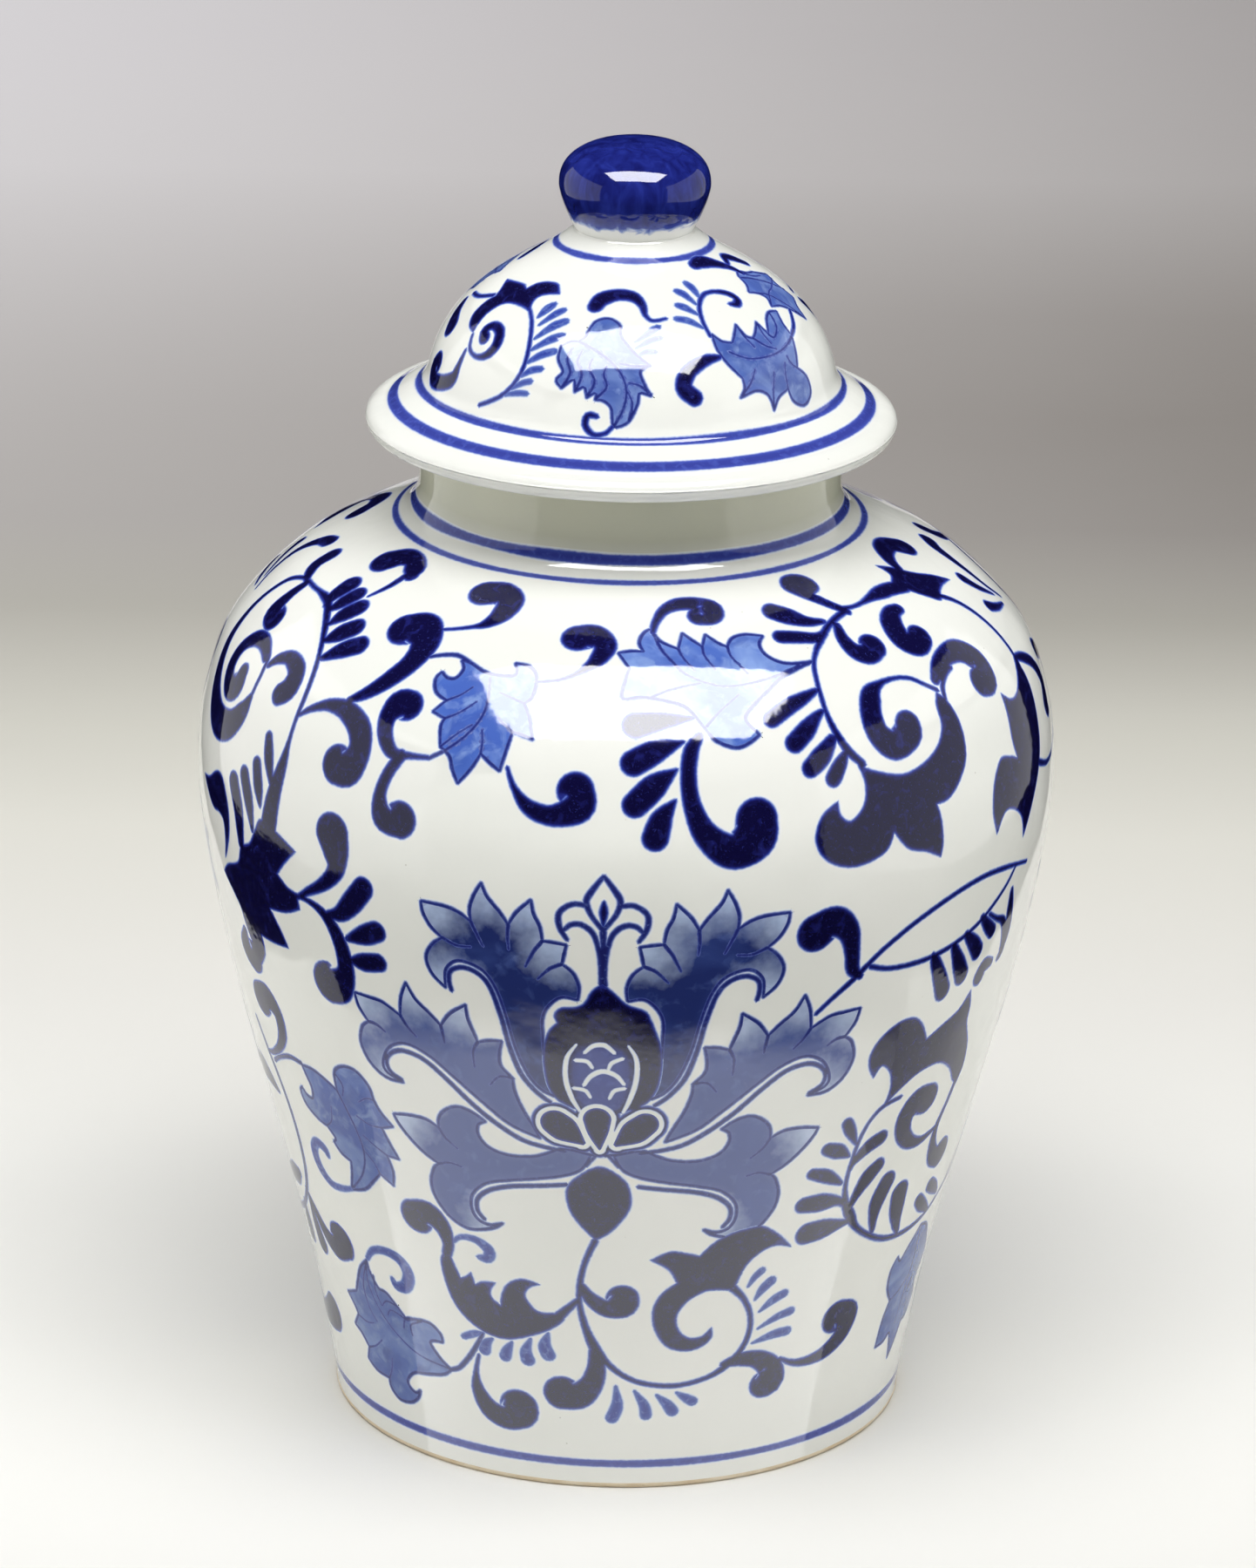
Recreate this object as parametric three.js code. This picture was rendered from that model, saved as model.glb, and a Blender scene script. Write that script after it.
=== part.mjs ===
// A lidded porcelain ginger jar: a slip-cast jar, and a domed lid made of a shell,
// a locating ring that drops inside the neck, and a luted-on knob.
// Millimetres, +Z up. The origin is the centre of the foot ring, on the surface the jar stands on.

import * as THREE from "three";

// ---- Driving dimensions -------------------------------------------------------------------

const SEGMENTS = 56; // facets round the axis

// Jar
const FOOT_RADIUS = 78.6; // outer wall where the foot meets the table
const FOOT_RING_WIDTH = 5.0; // unglazed ring that the jar stands on
const FOOT_EDGE = 0.9; // wiped bevel at the outside of the ring
const FOOT_RECESS = 4.0; // height of the sunk underside
const FLOOR_THICKNESS = 6.5; // clay above the sunk underside
const WALL = 5.5; // wall of the belly and shoulder
const BELLY_RADIUS = 116.6; // widest point
const BELLY_HEIGHT = 185.0;
const NECK_RADIUS = 57.0;
const NECK_WALL = 5.2;
const NECK_TOP = 275.6; // the lip that the lid sits on
const LIP_ROUND = 1.6;

// Lid
const SEAT_GAP = 0.3; // glaze film between lid and lip, and the slip in a luted joint
const LID_SEAT = NECK_TOP + SEAT_GAP; // flat underside of the brim
const BRIM_RADIUS = 71.5;
const BRIM_EDGE_HEIGHT = 279.6; // widest point of the rolled brim
const BRIM_TOP_RADIUS = 66.0; // where the roll meets the sloping top of the brim
const BRIM_TOP_HEIGHT = 283.4;
const BRIM_ROLL_BULGE = 0.55; // how far the roll stays full towards its corners
const DOME_FOOT_RADIUS = 56.9; // groove where the dome rises from the brim
const DOME_FOOT_HEIGHT = 289.0;
const DOME_WALL = 4.6;
const COLLAR_RADIUS = 16.4; // pad under the knob
const COLLAR_HEIGHT = 331.4;

const RING_OUTER_RADIUS = 49.4; // 2.4 mm of play inside the neck
const RING_WALL = 4.0;
const RING_DEPTH = 14.5;
const RING_EDGE = 1.0;

const KNOB_RADIUS = 20.3;
const KNOB_WIDEST_HEIGHT = 343.6;
const KNOB_TOP = 355.6;
const KNOB_TOP_FULLNESS = 2.36; // exponent of the superellipse: 2 is a plain ellipse
const KNOB_WAIST_RADIUS = 15.9;
const KNOB_TAPER = 1.43; // how quickly the knob narrows to its waist

// ---- Profile helpers ----------------------------------------------------------------------

const point = (radius, height) => new THREE.Vector2(radius, height);

/** Points of a smooth curve through the given ones, with as many steps between each two. */
function smooth(points, stepsBetween) {
  return new THREE.SplineCurve(points).getPoints(stepsBetween * (points.length - 1));
}

/** Points along a quarter round from one end to the other, full towards the corner point. */
function rounded(from, corner, to, steps, bulge = 0.5523) {
  const a = from.clone().lerp(corner, bulge);
  const b = to.clone().lerp(corner, bulge);
  return new THREE.CubicBezierCurve(from, a, b, to).getPoints(steps);
}

/** The same run of points moved sideways: a positive distance goes to the left of travel. */
function offset(points, distance) {
  return points.map((p, i) => {
    const before = points[Math.max(i - 1, 0)];
    const after = points[Math.min(i + 1, points.length - 1)];
    const along = after.clone().sub(before).normalize();
    return point(p.x - along.y * distance, p.y + along.x * distance);
  });
}

/** A turned solid from a profile of radius and height, with no two neighbours alike. */
function turned(profile) {
  const kept = profile.filter((p, i) => i === 0 || p.distanceTo(profile[i - 1]) > 0.02);
  return new THREE.LatheGeometry(kept, SEGMENTS).rotateX(Math.PI / 2);
}

// ---- Materials ----------------------------------------------------------------------------

const porcelain = new THREE.MeshStandardMaterial({
  color: 0xe9ebe4,
  roughness: 0.08,
  metalness: 0,
});

const cobalt = new THREE.MeshStandardMaterial({
  color: 0x10186a,
  roughness: 0.08,
  metalness: 0,
});

const biscuit = new THREE.MeshStandardMaterial({
  color: 0xd8cfbd,
  roughness: 0.75,
  metalness: 0,
});

// ---- Sub-parts ----------------------------------------------------------------------------

/** Outer wall from just above the foot to the top of the shoulder. */
function bellyCurve() {
  return smooth(
    [
      point(FOOT_RADIUS, FOOT_EDGE),
      point(79.4, 7.4),
      point(82.0, 21.5),
      point(86.2, 43),
      point(97.2, 86),
      point(108.2, 129),
      point(BELLY_RADIUS - 1.6, 164),
      point(BELLY_RADIUS, BELLY_HEIGHT),
      point(BELLY_RADIUS - 2.0, 203),
      point(108.0, 221),
      point(92.5, 237.4),
      point(77.0, 246.4),
      point(62.4, 253.0),
    ],
    2,
  );
}

function jarBody() {
  const belly = bellyCurve();
  const shoulderTop = belly[belly.length - 1];
  const neckFoot = point(NECK_RADIUS, 262);
  const fillet = rounded(shoulderTop, point(57.6, 254.8), neckFoot, 4);
  const lipOuter = point(NECK_RADIUS, NECK_TOP - LIP_ROUND);
  const lipInner = point(NECK_RADIUS - NECK_WALL, NECK_TOP - LIP_ROUND);
  const lipFlatOuter = point(NECK_RADIUS - LIP_ROUND, NECK_TOP);
  const lipFlatInner = point(NECK_RADIUS - NECK_WALL + LIP_ROUND, NECK_TOP);
  const lip = [
    ...rounded(lipOuter, point(NECK_RADIUS, NECK_TOP), lipFlatOuter, 3),
    ...rounded(lipFlatInner, point(NECK_RADIUS - NECK_WALL, NECK_TOP), lipInner, 3),
  ];
  const floor = FOOT_RECESS + FLOOR_THICKNESS;
  const inside = offset(belly, WALL)
    .filter((p, i) => i % 2 === 0 && p.y > floor + 6 && p.y < 247)
    .reverse();
  const innerNeck = point(NECK_RADIUS - NECK_WALL, 256);
  const cornerTop = inside[inside.length - 1];
  const floorEdge = point(cornerTop.x - 9, floor);
  const innerCorner = rounded(cornerTop, point(cornerTop.x - 1.2, floor), floorEdge, 3);
  const ringInner = FOOT_RADIUS - FOOT_EDGE - FOOT_RING_WIDTH;
  return turned([
    point(0, FOOT_RECESS),
    point(ringInner - 1.6, FOOT_RECESS),
    point(ringInner, 0),
    point(FOOT_RADIUS - FOOT_EDGE, 0),
    ...belly,
    ...fillet,
    ...lip,
    innerNeck,
    ...inside,
    ...innerCorner,
    point(0, floor),
  ]);
}

/** Outer surface of the dome, from the groove on the brim up to the collar. */
function domeCurve() {
  return smooth(
    [
      point(DOME_FOOT_RADIUS, DOME_FOOT_HEIGHT),
      point(55.2, 292.0),
      point(54.1, 296.0),
      point(52.5, 300.5),
      point(50.1, 305.0),
      point(46.8, 309.6),
      point(42.7, 313.8),
      point(37.7, 317.8),
      point(31.5, 321.8),
      point(25.6, 325.2),
      point(21.6, 327.6),
      point(18.4, 330.0),
      point(COLLAR_RADIUS, COLLAR_HEIGHT),
    ],
    1,
  );
}

function lidDome() {
  const dome = domeCurve();
  const brimEdge = point(BRIM_RADIUS, BRIM_EDGE_HEIGHT);
  const brimTop = point(BRIM_TOP_RADIUS, BRIM_TOP_HEIGHT);
  const seatOuter = point(BRIM_RADIUS - 4.2, LID_SEAT);
  const underRoll = rounded(
    seatOuter,
    point(BRIM_RADIUS, LID_SEAT),
    brimEdge,
    4,
    BRIM_ROLL_BULGE,
  );
  const overRoll = rounded(
    brimEdge,
    point(BRIM_RADIUS, BRIM_TOP_HEIGHT - 0.4),
    brimTop,
    5,
    BRIM_ROLL_BULGE,
  );
  const hollow = offset(dome, DOME_WALL).filter((p) => p.y > 291 && p.x > 12);
  const crown = hollow[hollow.length - 1];
  return turned([
    point(0, crown.y + 0.6),
    ...hollow.reverse(),
    point(RING_OUTER_RADIUS - 0.6, DOME_FOOT_HEIGHT - 2.5),
    point(RING_OUTER_RADIUS - RING_WALL, LID_SEAT + 2.5),
    point(RING_OUTER_RADIUS - RING_WALL, LID_SEAT),
    ...underRoll,
    ...overRoll,
    point(DOME_FOOT_RADIUS + 2.0, DOME_FOOT_HEIGHT - 1.0),
    ...dome,
    point(0, COLLAR_HEIGHT),
  ]);
}

function lidLocatingRing() {
  const outer = RING_OUTER_RADIUS;
  const inner = RING_OUTER_RADIUS - RING_WALL;
  const top = LID_SEAT - SEAT_GAP;
  const bottom = LID_SEAT - RING_DEPTH;
  return turned([
    point(inner, top),
    point(inner, bottom + RING_EDGE),
    ...rounded(
      point(inner, bottom + RING_EDGE),
      point(inner, bottom),
      point(inner + RING_EDGE, bottom),
      2,
    ),
    ...rounded(
      point(outer - RING_EDGE, bottom),
      point(outer, bottom),
      point(outer, bottom + RING_EDGE),
      2,
    ),
    point(outer, top),
    point(inner, top),
  ]);
}

function lidKnob() {
  const bottom = COLLAR_HEIGHT + SEAT_GAP;
  const profile = [point(0, bottom)];
  const taperSteps = 8;
  for (let i = 0; i <= taperSteps; i += 1) {
    const up = i / taperSteps;
    const narrowing = (KNOB_RADIUS - KNOB_WAIST_RADIUS) * (1 - up) ** KNOB_TAPER;
    const height = bottom + (KNOB_WIDEST_HEIGHT - bottom) * up;
    profile.push(point(KNOB_RADIUS - narrowing, height));
  }
  const crownSteps = 10;
  for (let i = 1; i <= crownSteps; i += 1) {
    const angle = (Math.PI / 2) * (i / crownSteps);
    const power = 2 / KNOB_TOP_FULLNESS;
    const radius = i === crownSteps ? 0 : KNOB_RADIUS * Math.cos(angle) ** power;
    const rise = (KNOB_TOP - KNOB_WIDEST_HEIGHT) * Math.sin(angle) ** power;
    profile.push(point(radius, KNOB_WIDEST_HEIGHT + rise));
  }
  return turned(profile);
}

// ---- Assembly -----------------------------------------------------------------------------

function part(name, geometry, material) {
  const mesh = new THREE.Mesh(geometry, material);
  mesh.name = name;
  return mesh;
}

const lid = new THREE.Group();
lid.add(part("lid_dome", lidDome(), porcelain));
lid.add(part("lid_locating_ring", lidLocatingRing(), biscuit));
lid.add(part("lid_knob", lidKnob(), cobalt));

const gingerJar = new THREE.Group();
gingerJar.add(part("jar_body", jarBody(), porcelain));
gingerJar.add(lid);

export default gingerJar;
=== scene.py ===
"""A porcelain ginger jar with a domed lid, painted in cobalt blue under a clear glaze."""

import math

import bpy
import numpy as np
from mathutils import Matrix, Vector
from mathutils.geometry import delaunay_2d_cdt
from mathutils.kdtree import KDTree


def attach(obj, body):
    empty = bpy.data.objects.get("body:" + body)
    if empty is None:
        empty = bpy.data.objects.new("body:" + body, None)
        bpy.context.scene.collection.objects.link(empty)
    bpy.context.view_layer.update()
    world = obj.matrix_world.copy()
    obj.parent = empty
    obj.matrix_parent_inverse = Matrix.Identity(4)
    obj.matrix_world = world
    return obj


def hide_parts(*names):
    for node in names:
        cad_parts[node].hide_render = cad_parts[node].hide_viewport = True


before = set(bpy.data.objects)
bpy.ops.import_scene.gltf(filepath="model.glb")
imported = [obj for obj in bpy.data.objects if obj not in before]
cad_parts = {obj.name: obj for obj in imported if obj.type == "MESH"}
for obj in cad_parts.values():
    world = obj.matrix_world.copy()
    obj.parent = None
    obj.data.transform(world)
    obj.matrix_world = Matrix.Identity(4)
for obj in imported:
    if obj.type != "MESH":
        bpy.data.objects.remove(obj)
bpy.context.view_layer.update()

RNG = np.random.default_rng(7)

# ---- Driving sizes, in millimetres ---------------------------------------------------------

MM = 0.001
GLAZE_INSET = 0.15  # the glaze lies this far inside the CAD surface, to leave room for paint
JAR_CHART = 100.0  # radius at which 1 mm round the jar's drawing is 1 mm on the clay
LID_CHART = 50.0  # the same for the lid's drawing
LID_CHART_TOP = 78.15  # height of the collar on the lid's chart
OUTLINE_STEP = 0.8  # spacing of points along a painted edge
FILL_STEP = 1.8  # spacing of points inside a painted area
ROW_SHIFT = 0.4  # sideways shift of every other row of them
HALO = 0.75  # how far the cobalt bleeds into the glaze round a stroke
TIP_REACH = 15.0  # how far a petal stays pale from its tips
ROOT_REACH = 42.0  # nearer to the flower's root than this, a sharp point is no pale tip
RIM = 0.42  # width of the thin, paler edge of a stroke
EDGE_LIFT = 0.55  # share of its layer's lift that paint has at its very edge
BLEED_LIFT = 0.012  # lift of the outer end of the bleed
BAND_LIFT = 0.04  # lift of the painted bands
BAND_POINTS = 480  # points round a band
BAND_SWELL = 0.12  # share by which the thinner bands swell and thin
LIFTS = {"wash": 0.035, "line": 0.06, "dark": 0.08, "egg": 0.09, "white": 0.1, "top": 0.125}

NECK_TOP = 275.6
NECK_RADIUS = 57.0
NECK_WALL = 5.2
LID_SEAT = 275.9
RING_RADIUS = 49.4
RING_WALL = 4.0
RING_DEPTH = 14.5
KNOB_RADIUS = 20.3
KNOB_WAIST = 15.9
KNOB_FOOT = 331.7
KNOB_WIDEST = 343.6
KNOB_TOP = 355.6

# Outer profiles as radius and height, the same points that the CAD solids are turned from.
JAR_WALL = [
    (78.6, 0.9), (79.4, 7.4), (82.0, 21.5), (86.2, 43), (97.2, 86), (108.2, 129), (115.0, 164),
    (116.6, 185), (114.6, 203), (108.0, 221), (92.5, 237.4), (77.0, 246.4), (62.4, 253.0),
]
DOME = [
    (56.9, 289.0), (55.2, 292.0), (54.1, 296.0), (52.5, 300.5), (50.1, 305.0), (46.8, 309.6),
    (42.7, 313.8), (37.7, 317.8), (31.5, 321.8), (25.6, 325.2), (21.6, 327.6), (18.4, 330.0),
    (16.4, 331.4),
]
BRIM_EDGE = (71.5, 279.6)
BRIM_TOP = (66.0, 283.4)
BRIM_FOOT = (58.9, 288.0)


# ---- Curves --------------------------------------------------------------------------------


def spline(points, steps, closed=False):
    """Points of a uniform Catmull-Rom curve, in any number of columns."""
    p = np.asarray(points, float)
    n = len(p)
    spans = n if closed else n - 1
    t = (np.arange(steps) / steps)[:, None]
    out = []
    for i in range(spans):
        if closed:
            a, b, c, d = p[i - 1], p[i], p[(i + 1) % n], p[(i + 2) % n]
        else:
            a, b, c, d = p[max(i - 1, 0)], p[i], p[i + 1], p[min(i + 2, n - 1)]
        into, away = (c - a) / 2, (d - b) / 2
        out.append((2 * b - 2 * c + into + away) * t**3
                   + (3 * c - 3 * b - 2 * into - away) * t**2 + into * t + b)
    if not closed:
        out.append(p[-1:])
    return np.vstack(out)


def rounded(start, corner, end, steps, bulge=0.5523):
    """Points along a quarter round from start to end, full towards the corner."""
    start, corner, end = (np.asarray(v, float) for v in (start, corner, end))
    a, b = start + (corner - start) * bulge, end + (corner - end) * bulge
    t = np.linspace(0, 1, steps + 1)[:, None]
    return ((1 - t)**3 * start + 3 * (1 - t)**2 * t * a + 3 * (1 - t) * t**2 * b + t**3 * end)


def run_lengths(points):
    """Distance along a polyline, at each of its points."""
    return np.r_[0, np.cumsum(np.linalg.norm(np.diff(points, axis=0), axis=1))]


def resampled(points, spacing):
    """The same polyline with points about that far apart."""
    run = run_lengths(points)
    count = max(int(round(run[-1] / spacing)), 2)
    at = np.linspace(0, run[-1], count + 1)
    return np.stack([np.interp(at, run, column) for column in np.asarray(points).T], 1)


def units(rows):
    """The same rows, each one unit long. A row of zeros stays as it is."""
    return rows / np.maximum(np.linalg.norm(rows, axis=1), 1e-9)[:, None]


def directions(points):
    """Unit direction of travel at each point of a polyline."""
    return units(np.gradient(np.asarray(points, float), axis=0))


def twice_area(ring):
    """Twice the area of a closed outline, above zero where it runs anticlockwise."""
    ahead = np.roll(ring, -1, 0)
    return np.sum(ring[:, 0] * ahead[:, 1] - ahead[:, 0] * ring[:, 1])


def inset(points, distance):
    """A profile moved sideways: a positive distance goes to the left of travel."""
    d = directions(points)
    return np.stack([points[:, 0] - d[:, 1] * distance, points[:, 1] + d[:, 0] * distance], 1)


class Drawing:
    """A turned outer surface, on which paint is placed by mm round the chart and mm of height."""

    def __init__(self, profile, chart):
        self.chart = chart
        self.run = run_lengths(profile)
        self.skin = inset(profile, GLAZE_INSET)
        d = directions(profile)
        self.normal = np.stack([d[:, 1], -d[:, 0]], 1)

    def stretch(self, s):
        """Chart millimetres to one true millimetre round the surface, at these heights."""
        return self.chart / np.interp(s, self.run, self.skin[:, 0])

    def place(self, xs, lift):
        """Positions in metres and surface normals for chart points, lifted off the glaze."""
        angle, s = xs[:, 0] / self.chart, xs[:, 1]
        r, z = (np.interp(s, self.run, self.skin[:, k]) for k in (0, 1))
        nr, nz = (np.interp(s, self.run, self.normal[:, k]) for k in (0, 1))
        r, z = r + nr * lift, z + nz * lift
        around, front = np.sin(angle), -np.cos(angle)
        position = np.stack([r * around, r * front, z], 1) * MM
        normal = np.stack([nr * around, nr * front, nz], 1)
        return position, units(normal)


# ---- Meshes --------------------------------------------------------------------------------


def added(name, data):
    """A new object of the scene."""
    obj = bpy.data.objects.new(name, data)
    bpy.context.scene.collection.objects.link(obj)
    return obj


def piece(name, points, faces, material, body, nodes, slot_name, normals=None, values=None):
    """A mesh object of the jar, smooth shaded, riding on a body and standing for CAD nodes."""
    mesh = bpy.data.meshes.new(name)
    mesh.from_pydata([tuple(p) for p in points], [], faces)
    for key, data in (values or {}).items():
        layer = mesh.attributes.new(key, "FLOAT", "POINT")
        layer.data.foreach_set("value", np.asarray(data, np.float32))
    mesh.update()
    mesh.polygons.foreach_set("use_smooth", [True] * len(mesh.polygons))
    if normals is not None:
        mesh.normals_split_custom_set_from_vertices([tuple(n) for n in normals])
    mesh.materials.append(material)
    obj = added(name, mesh)
    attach(obj, body)
    if nodes:
        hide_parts(*nodes)
    return obj


def turned(profile, around):
    """Vertices in metres and quads of a solid turned from a profile that closes at the axis."""
    profile = np.asarray(profile, float)
    keep = np.r_[True, np.linalg.norm(np.diff(profile, axis=0), axis=1) > 1e-3]
    profile = profile[keep]
    angle = np.linspace(0, 2 * math.pi, around, endpoint=False)
    points, rings = [], []
    for r, z in profile:
        if r < 1e-6:
            rings.append([len(points)])
            points.append((0.0, 0.0, z * MM))
            continue
        rings.append(list(range(len(points), len(points) + around)))
        points += [(r * math.sin(a) * MM, -r * math.cos(a) * MM, z * MM) for a in angle]
    faces = []
    pairs = list(zip(rings, rings[1:]))
    if len(rings[0]) > 1:
        pairs.append((rings[-1], rings[0]))
    for low, high in pairs:
        for i in range(around):
            j = (i + 1) % around
            if len(low) == 1:
                faces.append((low[0], high[j], high[i]))
            elif len(high) == 1:
                faces.append((low[i], low[j], high[0]))
            else:
                faces.append((low[i], low[j], high[j], high[i]))
    return points, faces


# ---- Painted areas -------------------------------------------------------------------------


def stroke(drawing, points):
    """Closed outline and middle line of a brush stroke through (x, s, width) points."""
    line = resampled(spline(points, 12), OUTLINE_STEP)
    stretch = drawing.stretch(line[:, 1])
    d = np.gradient(line[:, :2], axis=0)
    d[:, 0] /= stretch
    d = units(d)
    half = np.maximum(line[:, 2], 0.5) / 2

    def off(i, along, across):
        """Chart point beside line point i, by true mm along and across the stroke."""
        return (line[i, 0] + (d[i, 0] * along - d[i, 1] * across) * stretch[i],
                line[i, 1] + d[i, 1] * along + d[i, 0] * across)

    def cap(i, sign):
        """Round end of the stroke at line point i: sign is 1 at its end and -1 at its start."""
        steps = max(int(math.pi * half[i] / OUTLINE_STEP), 2)
        turns = [sign * math.pi / 2 - math.pi * k / steps * sign for k in range(1, steps)]
        return [off(i, sign * half[i] * math.cos(a), half[i] * math.sin(a)) for a in turns]

    last = len(line) - 1
    left = [off(i, 0, half[i]) for i in range(last + 1)]
    right = [off(i, 0, -half[i]) for i in range(last, -1, -1)]
    tail = cap(0, -1)
    return np.array(left + cap(last, 1) + right + tail), line[1:-1, :2]


def shape(points):
    """Closed outline through (x, s) points: smooth, but sharp where a third value is given."""
    sharp = [i for i, p in enumerate(points) if len(p) > 2]
    flat = [p[:2] for p in points]
    if not sharp:
        return resampled(spline(flat, 10, closed=True), OUTLINE_STEP)
    flat = flat[sharp[0]:] + flat[:sharp[0]]
    stops = [i - sharp[0] for i in sharp] + [len(flat)]
    flat.append(flat[0])
    runs = [resampled(spline(flat[a:b + 1], 10), OUTLINE_STEP)[:-1]
            for a, b in zip(stops, stops[1:])]
    return np.vstack(runs)


def mirrored(items, about):
    """The same strokes or shapes, seen in a mirror that stands at x = about."""
    return [[(2 * about - p[0],) + tuple(p[1:]) for p in item] for item in items]


def shifted(items, by):
    """The same strokes or shapes, moved round the chart."""
    return [[(p[0] + by,) + tuple(p[1:]) for p in item] for item in items]


def inside_any(where, outlines):
    """Which of these points are inside at least one closed outline."""
    found = np.zeros(len(where), bool)
    for ring in outlines:
        low, high = ring.min(0), ring.max(0)
        near = np.nonzero(~found & (where >= low).all(1) & (where <= high).all(1))[0]
        if not len(near):
            continue
        a, b = ring, np.roll(ring, -1, 0)
        p = where[near]
        x, y = p[:, :1], p[:, 1:]
        left = (b[:, 0] - a[:, 0]) * (y - a[:, 1]) - (x - a[:, 0]) * (b[:, 1] - a[:, 1])
        up = (a[:, 1] <= y) & (b[:, 1] > y) & (left > 0)
        down = (a[:, 1] > y) & (b[:, 1] <= y) & (left < 0)
        found[near[(up.sum(1) - down.sum(1)) != 0]] = True
    return found


def fill_points(drawing, outlines):
    """Points on, just inside and well inside each outline, and the numbers of those on it."""
    points, rings, start = [], [], 0
    for ring in outlines:
        stretch = drawing.stretch(ring[:, 1])
        d = np.roll(ring, -1, 0) - np.roll(ring, 1, 0)
        d[:, 0] /= stretch
        d = units(d)
        way = 1 if twice_area(ring) > 0 else -1
        inner = ring + way * RIM * np.stack([-d[:, 1] * stretch, d[:, 0]], 1)
        low, high = ring.min(0), ring.max(0)
        grid = np.stack(np.meshgrid(np.arange(low[0], high[0], FILL_STEP),
                                    np.arange(low[1], high[1], FILL_STEP)), -1).reshape(-1, 2)
        grid[:, 0] += (grid[:, 1] / FILL_STEP % 2) * ROW_SHIFT
        grid = grid[inside_any(grid, [ring])]
        points += [ring, inner, grid]
        rings.append(list(range(start, start + len(ring))))
        start += 2 * len(ring) + len(grid)
    return points, rings


def triangulated(points, rings, outlines):
    """Chart points and triangles that fill the union of the outlines."""
    flat, _, faces, *_ = delaunay_2d_cdt([Vector(p) for p in points], [], rings, 0, 1e-3)
    flat = np.array([tuple(p) for p in flat])
    faces = np.array([f for f in faces if len(f) == 3])
    faces = faces[inside_any(flat[faces].mean(1), outlines)]
    used, faces = np.unique(faces, return_inverse=True)
    return flat[used], faces.reshape(-1, 3)


def border_of(faces):
    """The sides that only one triangle has, each in that triangle's direction."""
    sides = np.concatenate([faces[:, [0, 1]], faces[:, [1, 2]], faces[:, [2, 0]]])
    seen = {(a, b): True for a, b in sides}
    return np.array([side for side in seen if (side[1], side[0]) not in seen])


def outward(flat, border, stretch):
    """True directions away from the paint at the points of its border, and zero elsewhere."""
    out = np.zeros((len(flat), 2))
    step = flat[border[:, 1]] - flat[border[:, 0]]
    step[:, 0] /= stretch[border[:, 0]]
    away = units(np.stack([step[:, 1], -step[:, 0]], 1))
    for end in (0, 1):
        np.add.at(out, border[:, end], away)
    return units(out)


def nearest(targets):
    """A tree that finds the nearest of these 3-D points."""
    tree = KDTree(len(targets))
    for number, target in enumerate(targets):
        tree.insert(Vector(target), number)
    tree.balance()
    return tree


def depths(skin, border):
    """Distance in mm from each point of the skin to its border, by border points and middles."""
    border_points = np.unique(border)
    middles = (skin[border[:, 0]] + skin[border[:, 1]]) / 2
    tree = nearest(np.vstack([skin[border_points], middles]))
    depth = np.array([tree.find(Vector(p))[2] / MM for p in skin])
    depth[border_points] = 0
    return depth


def tip_values(flat, tips):
    """Values that rise to 1 at the given pale tips."""
    tree = nearest([(x, s, 0) for x, s in tips])
    reach = np.array([tree.find(Vector((x, s, 0)))[2] for x, s in flat])
    return np.clip(1 - reach / TIP_REACH, 0, 1)


def painted(name, drawing, outlines, middles, layer, material, body, slot_name, halo, tips,
            over):
    """One thin skin of paint over the union of the outlines, with a soft bleed round it.

    The values at its points are depth, the distance in mm in from the edge of the paint, which
    is below zero in the bleed, and tip, which rises to 1 at the given pale tips. The bleed fades
    to white, but where it lies inside one of the outlines given in over it ends at the depth
    that is given with them.
    """
    points, rings = fill_points(drawing, outlines)
    flat, faces = triangulated(np.vstack(points + middles), rings, outlines)
    border = border_of(faces)
    depth = depths(drawing.place(flat, 0)[0], border)
    share = EDGE_LIFT if halo else 1.0
    lift = LIFTS[layer] * (share + (1 - share) * np.clip(depth / RIM, 0, 1))
    tip = tip_values(flat, tips) if tips else np.zeros(len(flat))
    faces = [tuple(int(v) for v in f) for f in faces]
    if halo:
        ids = np.unique(border)
        stretch = drawing.stretch(flat[:, 1])
        out = outward(flat, border, stretch)[ids]
        bleed = flat[ids] + out * halo * np.stack([stretch[ids], np.ones(len(ids))], 1)
        outer = {int(i): len(flat) + n for n, i in enumerate(ids)}
        faces += [(int(b), int(a), outer[int(a)], outer[int(b)]) for a, b in border]
        faded = np.full(len(bleed), -halo)
        for covered, value in over:
            faded[inside_any(bleed, covered)] = value
        flat = np.vstack([flat, bleed])
        depth = np.r_[depth, faded]
        tip = np.r_[tip, tip[ids]]
        lift = np.r_[lift, np.full(len(bleed), BLEED_LIFT)]
    position, normal = drawing.place(flat, lift)
    return piece(name, position, faces, material, body, [], slot_name, normal,
                 {"depth": depth, "tip": tip})


# ---- The drawing on the jar ----------------------------------------------------------------
# Everything is in chart millimetres: x round the jar from the front, s up its wall from the
# foot. Strokes give their width as a third value, and shapes mark their sharp points with 1.

LOTUS_AXIS = -4.5
LOTUS_ROOT = 120.0  # height at which its petals meet

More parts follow.
